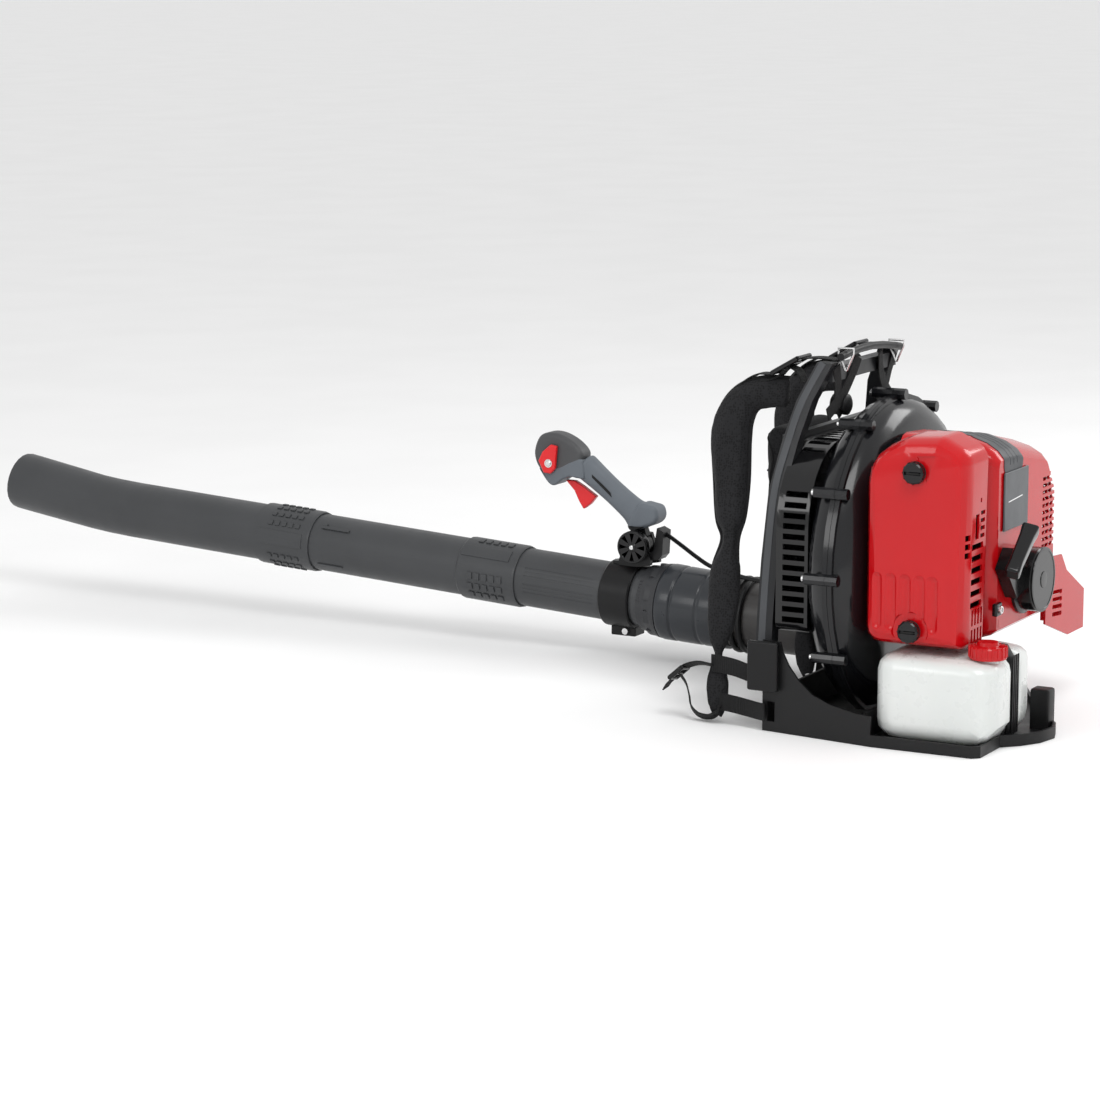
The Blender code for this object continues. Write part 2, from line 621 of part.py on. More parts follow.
def make_tube():
    radii = [34, 36, 40, 44, 48.4, 51, 51, 51, 48]
    pipe("elbow", elbow_path(), radii, [r - 2.6 for r in radii], "tube_plastic", 24)
    for name, y in (("elbow_clamp_rear", -372), ("elbow_clamp_front", -386)):
        z = 77 + (-300 - y) * 0.0345
        band = [(0, 51.9), (0, 57), (2, 58.5), (6, 58.5), (8, 57), (8, 51.9)]
        turn(name, (TUBE_X, y - 4, z), (0, 1, -0.035), band, "black_plastic", 24)
    fold = [
        (-400, 54), (-408, 56.5), (-440, 57), (-446, 54.6), (-452, 57), (-484, 57.5), (-487, 55.5),
        (-490, 58), (-506, 58), (-509, 56), (-512, 58), (-530, 57), (-540, 51), (-542, 49),
    ]  # fmt: skip
    path = [axis_point(y) for y, _ in fold]
    inner = [52.2] * 10 + [52.2, 50, 46.4, 46]
    pipe("bellows", path, [r for _, r in fold], inner, "bellows_rubber", 20)
    wall = TUBE_WALL
    ys = (-522, -545, -545.5, -556, -556.5, -800)
    radii = [45, 45, 46.4, 46.4, 45, 45]
    straight("swivel_pipe", ys, radii, [45 - wall] * 6, "tube_plastic", 24)
    ys = (-758, -762, -858, -862, -1172)
    outer, inner = [47.5, 48.5, 48.5, 45, 45], [45.5, 45.5, 42.4, 42.4, 42.4]
    mid = straight("mid_pipe", ys, outer, inner, "tube_plastic", 24)
    cut(mid, straight("mid_socket", (-740, -806), [45.5, 45.5], None, None, 24))
    path = [axis_point(y) for y in (-1130, -1134, -1232, -1238, -1420, -1490)]
    path += [Vector((TUBE_X, y, z)) for y, z in ((-1530, 156.2), (-1565, 160.4), (-1605, 167), (-1696, 182))]
    path += [Vector((TUBE_X, y, z)) for y, z in ((-1712, 184.6), (-1716, 185.3))]
    outer = [47.5, 48.5, 48.5, 45, 45, 45, 45, 45, 45.5, 46.5, 46.5, 45.6]
    inner = [45.5, 45.5, 42.4, 42.4, 42.4, 42.4, 42.4, 42.4, 43, 43.6, 43.8, 44.4]
    nozzle = pipe("nozzle", path, outer, inner, "tube_plastic", 24)
    cut(nozzle, straight("nozzle_socket", (-1110, -1180), [45.5, 45.5], None, None, 24))


def make_handle():
    ys, outer = (-560, -562, -608, -610), [50, 51.5, 51.5, 50]
    ring = straight("handle_clamp", ys, outer, [41] * 4, "black_plastic", 28)
    nut = axis_point(-578)
    join(ring, box("nut_block", (TUBE_X - 16, -604, nut.z - 62), (TUBE_X + 16, -562, nut.z - 47), None, 2))
    block = box("bracket_foot", (TUBE_X - 17, -600, 133), (TUBE_X + 17, -559, 146.5), None)
    join(ring, block)
    profile = [
        (-592, 140), (-558, 140), (-536, 144), (-536, 153), (-543, 170), (-550, 189), (-568, 190),
        (-580, 180),
    ]  # fmt: skip
    for x in (TUBE_X - 19, TUBE_X + 11.5):
        join(ring, prism(f"bracket_cheek_{x}", profile, 0, x, x + 7.5, None))
    lug = [
        (-557, 148), (-544, 150), (-526, 152), (-519, 160), (-517, 196), (-528, 201), (-534, 166),
        (-544, 158), (-557, 155),
    ]  # fmt: skip
    join(ring, prism("cable_lug", lug, 0, TUBE_X - 13, TUBE_X + 13, None))
    cut(ring, straight("clamp_bore", (-500, -700), [45.5, 45.5], None, None, 28))
    cut(ring, rod("pivot_bore", (TUBE_X - 30, *PIVOT), (TUBE_X + 30, *PIVOT), 4.4, None, 16))
    cut(ring, rod("cable_bore", (TUBE_X, -532, 199.2), (TUBE_X, -500, 180), 3.7, None, 16))
    head = (TUBE_X + 16.4, -578, nut.z - 54)
    rod("clamp_screw", head, (TUBE_X + 21, -578, nut.z - 54), 5, "zinc_steel", 20)
    knob = turn(
        "tilt_knob", (TUBE_X + 19.4, *PIVOT), (1, 0, 0),
        [(0, 0), (0, 24), (3, 25), (12, 25), (13, 23.5), (10, 22), (10, 7), (14, 6), (14, 0)],
        "black_plastic", 20,
    )  # fmt: skip
    for i in range(8):
        t = math.tau * i / 8
        end = (TUBE_X + 30, PIVOT[0] + 23 * math.cos(t), PIVOT[1] + 23 * math.sin(t))
        join(knob, rod(f"spoke_{i}", (TUBE_X + 30, *PIVOT), end, 1.7, None, 6))
    join(knob, rod("knob_stem", (TUBE_X - 22, *PIVOT), (TUBE_X + 22, *PIVOT), 3.9, None, 16))
    base = [(-575, 200), (-568, 193), (-532, 208), (-525, 220), (-530, 233), (-542, 235), (-556, 232)]
    shell = prism("grip_shell", base, 0, TUBE_X - 19, TUBE_X + 19, "grip_shell")
    head = [
        (-650, 305), (-668, 322), (-692, 333), (-714, 335), (-728, 327), (-738, 303), (-735, 286),
        (-722, 270), (-712, 257), (-702, 254), (-684, 266), (-668, 276), (-656, 288),
    ]  # fmt: skip
    join(shell, prism("grip_head", head, 0, TUBE_X - 18, TUBE_X + 18, None))
    core = [(-545, 214), (-556, 200), (-670, 284), (-660, 300)]
    core_clear = inset(core, -0.9)
    join(shell, prism("grip_core", core, 0, TUBE_X - 8, TUBE_X + 8, None))
    neck = [(-556, 210), (-548, 186), (-572, 186), (-568, 206)]
    join(shell, prism("grip_neck", neck, 0, TUBE_X - 8, TUBE_X + 8, None))
    join(shell, rod("grip_hub", (TUBE_X - 10.5, *PIVOT), (TUBE_X + 10.5, *PIVOT), 15, None, 28))
    bevel(shell, 4, 1, 50)
    cut(shell, rod("hub_bore", (TUBE_X - 30, *PIVOT), (TUBE_X + 30, *PIVOT), 4.4, None, 16))
    bay = [(-698, 250), (-640, 210), (-622, 244), (-692, 276)]
    cut(shell, prism("trigger_bay", bay, 0, TUBE_X - 6, TUBE_X + 6, None))
    soft = [
        (-556, 233), (-577, 199), (-587, 210), (-637, 249), (-657, 264), (-668, 269), (-660, 286),
        (-651, 303),
    ]  # fmt: skip
    sleeve = prism("grip_sleeve", soft, 0, TUBE_X - 17, TUBE_X + 17, "grip_rubber")
    bevel(sleeve, 7, 3, 30)
    cut(sleeve, prism("sleeve_core_clear", core_clear, 0, TUBE_X - 8.5, TUBE_X + 8.5, None))
    cut(sleeve, prism("sleeve_head_clear", inset(head, -0.9), 0, TUBE_X - 40, TUBE_X + 40, None))
    cut(sleeve, prism("sleeve_base_clear", inset(base, -0.9), 0, TUBE_X - 40, TUBE_X + 40, None))
    bay = [(-700, 240), (-640, 206), (-618, 246), (-692, 272)]
    cut(sleeve, prism("sleeve_trigger_bay", bay, 0, TUBE_X - 6.5, TUBE_X + 6.5, None))
    blade = [
        (-689, 262), (-673, 262), (-658, 254), (-636, 240), (-646, 228), (-658, 219), (-666, 231),
        (-674, 247),
    ]  # fmt: skip
    trigger = prism("trigger", blade[::-1], 0, TUBE_X - 5, TUBE_X + 5, "red_plastic")
    bevel(trigger, 1.5)
    lever = [(-726, 292), (-719, 306), (-705, 318), (-694, 316), (-697, 281), (-705, 273), (-717, 274)]
    stop = prism("stop_lever", lever[::-1], 0, TUBE_X + 18.6, TUBE_X + 25, "red_plastic")
    bevel(stop, 1.5)
    cable = [
        Vector(p) for p in (
            (TUBE_X, -525.5, 195.3), (TUBE_X, -512, 187.2), (TUBE_X + 2, -490, 175),
            (TUBE_X + 7, -465, 162), (TUBE_X + 14, -438, 151), (TUBE_X + 22, -405, 145.5),
            (TUBE_X + 34, -370, 142), (TUBE_X + 42, -330, 140), (TUBE_X + 46, -290, 138),
            (TUBE_X + 48, -250, 137), (TUBE_X + 48, -215, 136.5), (TUBE_X + 48, -196, 136),
        )
    ]  # fmt: skip
    pipe("throttle_cable", cable, [2.8] * len(cable), None, "black_plastic", 10)


STRAP = [
    ((100, -196, 462), 22, (0, 0, 1)), ((104, -228, 460), 24, (0, 0, 1)),
    ((108, -256, 448), 27, (0, -0.5, 0.87)), ((111, -272, 425), 31, (0, -0.87, 0.5)),
    ((113, -279, 390), 34, (0, -1, 0.1)), ((120, -275, 330), 32, (0, -1, 0)),
    ((133, -270, 280), 27, (0, -1, 0)), ((141, -267, 250), 18, (0, -1, 0)),
    ((150, -270, 208), 25, (0, -1, 0)), ((160, -268, 165), 26, (0, -1, 0)),
    ((170, -268, 120), 20, (0, -1, 0)), ((178, -266, 92), 8, (0, -1, 0)),
    ((188, -262, 75), 13, (0, -1, 0)), ((196, -258, 50), 18, (0, -1, 0)),
    ((200, -256, 25), 16, (0, -1, 0)), ((202, -255, 9), 9, (0, -1, 0)),
]  # fmt: skip


def make_harness():
    pad = box("back_pad", (-92, -244, 150), (92, -204, 418), "pad_fabric")
    bevel(pad, 16, 3)
    thick = [9, 10, 10, 11, 11, 11, 10, 6, 10, 10, 9, 5, 8, 9, 8, 5]
    widths = [w for _, w, _ in STRAP]
    across = [a for _, _, a in STRAP]
    strap("shoulder_strap_left", [p for p, _, _ in STRAP], widths, across, "pad_fabric", thick)
    path = [(-min(p[0], 100 + (462 - p[2]) * 0.004), p[1], p[2]) for p, _, _ in STRAP]
    strap("shoulder_strap_right", path, widths, across, "pad_fabric", thick)
    for side, name in ((1, "top_buckle_left"), (-1, "top_buckle_right")):
        x = side * 100
        buckle = box(name, (x - 22, -213, 486), (x + 22, -177, 510), "black_plastic", 4)
        cut(buckle, box(f"{name}_gap_a", (x - 17, -206, 470), (x + 17, -200, 520), None))
        cut(buckle, box(f"{name}_gap_b", (x - 17, -192, 470), (x + 17, -186, 520), None))
    web = [(211, -248, 33), (212, -225, 31), (215, -205, 29), (222, -184, 28), (227, -172, 28)]
    strap("lower_webbing_left", web, [12.5] * 5, [(0, 0, 1)] * 5, "webbing", [1.2] * 5)
    web = [(-116, -246, 24), (-117, -225, 22), (-120, -205, 21), (-122, -192, 21)]
    strap("lower_webbing_right", web, [12.5] * 4, [(0, 0, 1)] * 4, "webbing", [1.2] * 4)


# A point on the axis that each moving piece turns about or slides along.
JOINT_POINTS = {
    "crankshaft": (0, 0, SHAFT_Z),
    "impeller": (0, 0, SHAFT_Z),
    "piston": (0, 20, 296),
    "starter_reel": (0, 124.5, STARTER_Z),
    "starter_grip": PULL_AT,
    "swivel_pipe": PITCH_AT,
    "handle_clamp": PITCH_AT,
    "clamp_screw": PITCH_AT,
    "mid_pipe": (TUBE_X, -780, 105.8),
    "nozzle": (TUBE_X, -1150, 130.3),
    "grip_shell": (TUBE_X, *PIVOT),
    "grip_sleeve": (TUBE_X, *PIVOT),
    "tilt_knob": (TUBE_X, *PIVOT),
    "trigger": (TUBE_X, -686, 258),
    "stop_lever": (TUBE_X + 18.6, -710, 290),
    "fuel_cap": (181, 138, 126.5),
    "air_cleaner_cover": (127, 36, 270),
    "cover_knob_upper": (188, 38, 376),
    "cover_knob_lower": (188, 34, 158),
    "choke_lever": (124.6, 88, 258),
    "primer_bulb": (92.5, 20, 258),
}


def set_origins():
    for name, point in JOINT_POINTS.items():
        made = bpy.data.objects[name]
        at = Vector(point) * MM
        made.data.transform(Matrix.Translation(-at))
        made.location = at


def main():
    start()
    make_base()
    make_frame()
    make_intake()
    make_scroll()
    make_impeller()
    make_engine()
    make_covers()
    make_starter()
    make_guard()
    make_tank()
    make_tube()
    make_handle()
    make_harness()
    set_origins()


main()
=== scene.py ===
"""Looks of the backpack leaf blower. Shapes are laid out in millimetres, and each group is placed by the box of
one of its CAD nodes."""

import json
import math

import bmesh
import bpy
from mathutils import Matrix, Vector


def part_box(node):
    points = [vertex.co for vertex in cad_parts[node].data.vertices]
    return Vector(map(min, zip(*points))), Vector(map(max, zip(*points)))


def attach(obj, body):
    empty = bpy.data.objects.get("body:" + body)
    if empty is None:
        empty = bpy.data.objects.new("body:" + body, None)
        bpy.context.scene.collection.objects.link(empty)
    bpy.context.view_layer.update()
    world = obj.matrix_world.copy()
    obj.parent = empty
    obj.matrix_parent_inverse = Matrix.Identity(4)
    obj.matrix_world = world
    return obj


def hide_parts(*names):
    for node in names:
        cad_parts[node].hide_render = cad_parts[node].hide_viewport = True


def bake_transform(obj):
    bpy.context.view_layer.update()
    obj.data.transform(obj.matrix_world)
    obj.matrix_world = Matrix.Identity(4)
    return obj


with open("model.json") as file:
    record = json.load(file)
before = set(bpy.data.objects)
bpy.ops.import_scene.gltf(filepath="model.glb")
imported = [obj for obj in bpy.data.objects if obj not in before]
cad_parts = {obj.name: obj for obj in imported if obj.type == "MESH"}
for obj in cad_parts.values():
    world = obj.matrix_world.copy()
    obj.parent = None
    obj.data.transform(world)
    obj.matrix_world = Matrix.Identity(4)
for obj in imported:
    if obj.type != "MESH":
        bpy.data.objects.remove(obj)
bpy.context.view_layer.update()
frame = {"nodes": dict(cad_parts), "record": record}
MM = 0.001

# group: (CAD node, the low corner of its box in millimetres in the layout below)
ANCHORS = {
    "cover": ("air_cleaner_cover", (127.0, -38.0, 134.0)),
    "shroud": ("engine_shroud", (-134.0, -25.0, 132.0)),
    "label": ("label_plate", (-6.0, 117.6, 283.0)),
    "scroll": ("scroll_front", (-238.0, -119.5, 13.0)),
    "cage": ("intake_cage", (-198.0, -170.0, 138.0)),
    "frame": ("back_frame", (-196.45, -200.0, 60.0)),
    "base": ("base_tray", (-241.0, -180.0, 0.0)),
    "tank": ("fuel_tank", (36.0, -14.0, 8.0)),
    "cap": ("fuel_cap", (155.5, 112.5, 126.5)),
    "band": ("tank_band", (106.0, 104.86, 7.26)),
    "starter": ("starter_case", (-50.0, 117.6, 156.0)),
    "pull": ("starter_grip", (63.42, 141.82, 227.66)),
    "elbow": ("elbow", (-216.0, -435.16, 26.0)),
    "bellows": ("bellows", (-223.0, -545.23, 24.91)),
    "swivel": ("swivel_pipe", (-211.4, -802.96, 43.91)),
    "mid": ("mid_pipe", (-213.5, -1174.96, 56.26)),
    "nozzle": ("nozzle", (-213.5, -1723.86, 80.81)),
    "grip": ("grip_shell", (-184.0, -738.0, 157.0)),
    "trigger": ("trigger", (-170.0, -688.47, 219.63)),
    "stop": ("stop_lever", (-146.4, -725.68, 273.12)),
    "knob": ("tilt_knob", (-187.0, -585.0, 147.0)),
    "cable": ("throttle_cable", (-167.8, -526.87, 133.34)),
    "strap": ("shoulder_strap_left", (91.07, -312.98, 8.07)),
    "strap_far": ("shoulder_strap_right", (-111.53, -312.98, 8.44)),
    "pad": ("back_pad", (-92.0, -244.0, 150.0)),
    "buckle": ("top_buckle_left", (78.0, -213.0, 486.0)),
    "buckle_far": ("top_buckle_right", (-122.0, -213.0, 486.0)),
    "web": ("lower_webbing_left", (209.8, -249.08, 15.5)),
}


def shift(group):
    node, low = ANCHORS[group]
    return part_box(node)[0] - Vector(low) * MM


# ---------------------------------------------------------------- materials


def node_tree(name):
    mat = bpy.data.materials.new(name)
    mat.use_nodes = True
    tree = mat.node_tree
    tree.nodes.clear()
    out = tree.nodes.new("ShaderNodeOutputMaterial")
    shader = tree.nodes.new("ShaderNodeBsdfPrincipled")
    tree.links.new(shader.outputs[0], out.inputs[0])
    coords = tree.nodes.new("ShaderNodeTexCoord")
    return mat, tree, shader, coords.outputs["Object"]


def add_noise(tree, coords, scale, detail):
    made = tree.nodes.new("ShaderNodeTexNoise")
    made.inputs["Scale"].default_value = scale
    made.inputs["Detail"].default_value = detail
    tree.links.new(coords, made.inputs["Vector"])
    return made.outputs["Fac"]


def span(tree, value, low, high):
    made = tree.nodes.new("ShaderNodeMapRange")
    made.inputs["From Min"].default_value = 0.3
    made.inputs["From Max"].default_value = 0.7
    made.inputs["To Min"].default_value = low
    made.inputs["To Max"].default_value = high
    tree.links.new(value, made.inputs["Value"])
    return made.outputs["Result"]


def two_tone(tree, value, a, b, start=0.35, end=0.65):
    ramp = tree.nodes.new("ShaderNodeValToRGB")
    ramp.color_ramp.elements[0].position = start
    ramp.color_ramp.elements[1].position = end
    ramp.color_ramp.elements[0].color = (*a, 1)
    ramp.color_ramp.elements[1].color = (*b, 1)
    tree.links.new(value, ramp.inputs[0])
    return ramp.outputs[0]


def add_bump(tree, shader, height, strength, distance):
    made = tree.nodes.new("ShaderNodeBump")
    made.inputs["Strength"].default_value = strength
    made.inputs["Distance"].default_value = distance
    tree.links.new(height, made.inputs["Height"])
    tree.links.new(made.outputs[0], shader.inputs["Normal"])
    return made


def plastic(name, colour, rough, coat=0.0, grain=0.15, grain_scale=1400, vary=0.06, wave=0.0, gleam=0.35):
    """Moulded plastic: a fine spark-eroded grain, slow changes of colour and gloss, and faint sink marks."""
    mat, tree, shader, at = node_tree(name)
    low = [c * (1 - vary) for c in colour]
    high = [min(1.0, c * (1 + vary)) for c in colour]
    tree.links.new(two_tone(tree, add_noise(tree, at, 14, 4), low, high), shader.inputs["Base Color"])
    fine = add_noise(tree, at, grain_scale, 2)
    tree.links.new(span(tree, add_noise(tree, at, 45, 5), rough * 0.9, rough * 1.15), shader.inputs["Roughness"])
    bump = add_bump(tree, shader, fine, grain, 0.0002)
    if wave:
        slow = add_bump(tree, shader, add_noise(tree, at, 16, 1), wave, 0.004)
        tree.links.new(slow.outputs[0], bump.inputs["Normal"])
        tree.links.new(bump.outputs[0], shader.inputs["Normal"])
    shader.inputs["Specular IOR Level"].default_value = gleam
    shader.inputs["Coat Weight"].default_value = coat
    shader.inputs["Coat Roughness"].default_value = 0.08
    return mat


def metal(name, colour, rough, scale=900):
    mat, tree, shader, at = node_tree(name)
    shader.inputs["Metallic"].default_value = 1.0
    tone = add_noise(tree, at, scale, 3)
    tree.links.new(two_tone(tree, tone, [c * 0.85 for c in colour], colour), shader.inputs["Base Color"])
    tree.links.new(span(tree, tone, rough * 0.7, rough * 1.4), shader.inputs["Roughness"])
    add_bump(tree, shader, tone, 0.1, 0.0002)
    return mat


def woven(name, colour, scale, holes=0.0, rough=0.85, strength=0.5):
    """Cloth: two crossed sets of yarns, or a knitted mesh of small dark holes where holes is above 0."""
    mat, tree, shader, at = node_tree(name)
    if holes:
        cells = tree.nodes.new("ShaderNodeTexVoronoi")
        cells.inputs["Scale"].default_value = scale
        cells.inputs["Randomness"].default_value = 0.6
        tree.links.new(at, cells.inputs["Vector"])
        height = cells.outputs["Distance"]
        dark = [c * (1 - holes) for c in colour]
        tone = two_tone(tree, height, dark, [c * 1.5 for c in colour], 0.25, 0.5)
    else:
        waves = []
        for direction in ("X", "Z"):
            made = tree.nodes.new("ShaderNodeTexWave")
            made.bands_direction = direction
            made.inputs["Scale"].default_value = scale
            made.inputs["Distortion"].default_value = 0.6
            tree.links.new(at, made.inputs["Vector"])
            waves.append(made.outputs["Fac"])
        mix = tree.nodes.new("ShaderNodeMath")
        mix.operation = "MULTIPLY"
        tree.links.new(waves[0], mix.inputs[0])
        tree.links.new(waves[1], mix.inputs[1])
        height = mix.outputs[0]
        tone = two_tone(tree, height, [c * 0.7 for c in colour], [c * 1.35 for c in colour], 0.1, 0.8)
    fade = tree.nodes.new("ShaderNodeMix")
    fade.data_type = "RGBA"
    fade.inputs["Factor"].default_value = 0.35
    slow = two_tone(tree, add_noise(tree, at, 22, 4), [c * 0.75 for c in colour], [c * 1.25 for c in colour])
    tree.links.new(tone, fade.inputs[6])
    tree.links.new(slow, fade.inputs[7])
    tree.links.new(fade.outputs[2], shader.inputs["Base Color"])
    add_bump(tree, shader, height, strength, 0.0006)
    shader.inputs["Roughness"].default_value = rough
    shader.inputs["Specular IOR Level"].default_value = 0.2
    shader.inputs["Sheen Weight"].default_value = 0.05
    shader.inputs["Sheen Roughness"].default_value = 0.5
    return mat


def tank_material():
    """Milky polyethylene with a slow random change of tone."""
    mat, tree, shader, at = node_tree("tank_plastic")
    tone = two_tone(tree, add_noise(tree, at, 7, 1), (0.64, 0.665, 0.65), (0.68, 0.70, 0.685))
    tree.links.new(tone, shader.inputs["Base Color"])
    tree.links.new(span(tree, add_noise(tree, at, 60, 4), 0.24, 0.36), shader.inputs["Roughness"])
    shader.inputs["Subsurface Weight"].default_value = 0.35
    shader.inputs["Subsurface Radius"].default_value = (0.012, 0.012, 0.011)
    shader.inputs["Subsurface Scale"].default_value = 1.0
    shader.inputs["Coat Weight"].default_value = 0.25
    add_bump(tree, shader, add_noise(tree, at, 900, 2), 0.05, 0.0002)
    return mat


MAT = {
    "frame": plastic("frame_plastic", (0.009, 0.009, 0.0095), 0.4, grain=0.25, gleam=0.25),
    "rail": plastic("rail_plastic", (0.012, 0.0125, 0.014), 0.34, grain=0.2, gleam=0.28),
    "scroll": plastic("scroll_plastic", (0.006, 0.0063, 0.0075), 0.2, coat=0.3, grain=0.04, wave=0.1, gleam=0.25),
    "cage": plastic("cage_plastic", (0.004, 0.004, 0.0045), 0.16, coat=0.4, grain=0.04, gleam=0.25),
    "red": plastic("red_plastic", (0.47, 0.002, 0.005), 0.2, coat=0.3, grain=0.02, wave=0.05, vary=0.02, gleam=0.22),
    "red_matt": plastic("red_lever_plastic", (0.66, 0.012, 0.016), 0.33, coat=0.1, grain=0.12, vary=0.03),
    "tube": plastic("tube_plastic", (0.047, 0.049, 0.052), 0.4, grain=0.2, vary=0.05, wave=0.05),
    "dark_tube": plastic("collar_plastic", (0.032, 0.033, 0.036), 0.42, grain=0.25),
    "bellows": plastic("bellows_rubber", (0.024, 0.027, 0.032), 0.3, coat=0.15, grain=0.08, vary=0.03),
    "elbow": plastic("elbow_plastic", (0.05, 0.047, 0.046), 0.33, grain=0.12),
    "shell": plastic("grip_shell", (0.062, 0.063, 0.066), 0.48, grain=0.35),
    "rubber": plastic("grip_rubber", (0.115, 0.13, 0.148), 0.55, grain=0.4, grain_scale=900),
    "black": plastic("black_plastic", (0.007, 0.007, 0.0075), 0.36, grain=0.2, gleam=0.25),
    "gloss_black": plastic("gloss_black_plastic", (0.005, 0.005, 0.0055), 0.2, coat=0.25, grain=0.04, gleam=0.22),
    "insert": plastic("insert_plastic", (0.05, 0.053, 0.058), 0.42, grain=0.3),
    "label": plastic("label_grey", (0.075, 0.08, 0.086), 0.35, grain=0.1),
    "white": plastic("white_print", (0.8, 0.8, 0.8), 0.5, grain=0.05),
    # near-black used as painted shade for the slot on each cover knob
    "slot_shadow": plastic("shadow_gap", (0.003, 0.003, 0.003), 0.7, grain=0.05),
    "rope": woven("rope", (0.02, 0.02, 0.02), 900),
    "tank": tank_material(),
    "steel": metal("zinc_steel", (0.72, 0.72, 0.72), 0.22),
    "alloy": metal("cast_aluminium", (0.5, 0.5, 0.5), 0.45, 500),
    "muffler": metal("muffler_steel", (0.32, 0.3, 0.28), 0.4, 300),
    "foam": woven("filter_foam", (0.18, 0.18, 0.16), 500, holes=0.6),
    "bulb": plastic("clear_rubber", (0.45, 0.25, 0.16), 0.25, coat=0.3),
    "cloth": woven("pad_fabric", (0.010, 0.010, 0.011), 620),
    "mesh_cloth": woven("mesh_fabric", (0.010, 0.010, 0.011), 290, holes=0.85, strength=0.8),
    "webbing": woven("webbing", (0.009, 0.009, 0.0095), 520, strength=0.7, rough=0.75),
    "piping": woven("piping", (0.012, 0.012, 0.013), 800),
}

NODE_MATERIALS = {
    "frame_plastic": "frame", "scroll_plastic": "scroll", "red_plastic": "red", "tube_plastic": "tube",
    "grip_shell": "shell", "grip_rubber": "rubber", "bellows_rubber": "bellows", "black_plastic": "black",
    "label_grey": "label", "tank_plastic": "tank", "pad_fabric": "cloth", "webbing": "webbing",
    "zinc_steel": "steel", "cast_aluminium": "alloy", "muffler_steel": "muffler", "filter_foam": "foam",
    "clear_rubber": "bulb",
}  # fmt: skip
SPECIAL = {"back_frame": "rail", "intake_cage": "cage", "elbow": "elbow"}


def paint_nodes():
    """Every CAD node that still shows gets its finish."""
    slots = {row["node"]: row["material_slot"] for row in frame["record"]["subparts"]}
    for name, node in frame["nodes"].items():
        mat = MAT[SPECIAL.get(name) or NODE_MATERIALS[slots[name]]]
        for i in range(len(node.material_slots)):
            node.material_slots[i].material = mat


# ---------------------------------------------------------------- shapes, in millimetres

WEB_HALF_THICKNESS = 1.1


def skin(bm, rings, closed=False):
    """A skin over equal rings of points, capped unless the rings close on themselves."""
    rows = [[bm.verts.new(p) for p in ring] for ring in rings]
    count = len(rows[0])
    pairs = list(zip(rows, rows[1:]))
    if closed:
        pairs.append((rows[-1], rows[0]))
    for a, b in pairs:
        for i in range(count):
            j = (i + 1) % count
            bm.faces.new((a[i], a[j], b[j], b[i]))
    if not closed:
        bm.faces.new(rows[0])
        bm.faces.new(rows[-1])
    return bm


def slab(bm, outline, axis, lo, hi):
    """The outline, in the plane across axis 0, 1 or 2, carried from lo to hi."""
    rings = []
    for level in (lo, hi):
        rings.append([(*point[:axis], level, *point[axis:]) for point in outline])
    return skin(bm, rings)


def block(bm, lo, hi):
    return slab(bm, [(lo[0], lo[1]), (hi[0], lo[1]), (hi[0], hi[1]), (lo[0], hi[1])], 2, lo[2], hi[2])


def across(way):
    """Two directions at right angles to way and to each other."""
    other = Vector((0, 0, 1)) if abs(way.z) < 0.9 else Vector((1, 0, 0))
    side = way.cross(other).normalized()
    return side, side.cross(way).normalized()


def circle(centre, side, up, radius, count=32):
    angles = [math.tau * k / count for k in range(count)]
    return [centre + side * (radius * math.cos(t)) + up * (radius * math.sin(t)) for t in angles]


def turned(bm, at, way, profile, count=40):
    """A turned form on the axis through at: the profile holds (distance along, radius)."""
    at, way = Vector(at), Vector(way).normalized()
    side, up = across(way)
    return skin(bm, [circle(at + way * d, side, up, max(r, 0.02), count) for d, r in profile])


def headings(points):
    found = []
    for i in range(len(points)):
        found.append((points[min(i + 1, len(points) - 1)] - points[max(i - 1, 0)]).normalized())
    return found


def spline(four, t):
    """The point at t, from 0 to 1, along the Catmull-Rom curve between the middle two of four points."""
    return tuple(
        0.5 * (2 * q + (r - p) * t + (2 * p - 5 * q + 4 * r - s) * t * t + (3 * q - p - 3 * r + s) * t**3)
        for p, q, r, s in zip(*four)
    )


def smooth_path(points, steps=6):
    """Points along a Catmull-Rom curve through the given ones. Longer tuples carry widths and so on."""
    rows = [tuple(p) for p in points]
    rows = [rows[0], *rows, rows[-1]]
    made = []
    for four in zip(rows, rows[1:], rows[2:], rows[3:]):
        made += [spline(four, k / steps) for k in range(steps)]
    return [*made, rows[-1]]


def tube(bm, path, radius, count=12):
    """A round tube along the path. radius is one number or one a point."""
    path = [Vector(p[:3]) for p in path]
    side = None
    rings = []
    for i, (point, way) in enumerate(zip(path, headings(path))):
        if side is None:
            side = across(way)[0]
        side = (side - way * side.dot(way)).normalized()
        r = radius[i] if isinstance(radius, (list, tuple)) else radius
        rings.append(circle(point, side, way.cross(side), r, count))
    return skin(bm, rings)


def band(bm, path, widths, directions, thick, count=24, power=0.6):
    """A flat band: path points, half widths, the width direction and half thickness at each point."""
    path = [Vector(p) for p in path]
    rings = []
    for i, (point, way) in enumerate(zip(path, headings(path))):
        wide = Vector(directions[i])
        wide = (wide - way * wide.dot(way)).normalized()
        deep = way.cross(wide).normalized()
        ring = []
        for t in (math.tau * k / count for k in range(count)):
            cos, sin = math.cos(t), math.sin(t)
            a = wide * widths[i] * math.copysign(abs(cos) ** power, cos)
            b = deep * thick[i] * math.copysign(abs(sin) ** power, sin)
            ring.append(point + a + b)
        rings.append(ring)
    return skin(bm, rings)


def webbing(bm, path, half=12.5, wide=(0, 0, 1)):
    rows = smooth_path(path, 5)
    return band(bm, rows, [half] * len(rows), [wide] * len(rows), [WEB_HALF_THICKNESS] * len(rows), 12, 0.35)


# ---------------------------------------------------------------- pieces


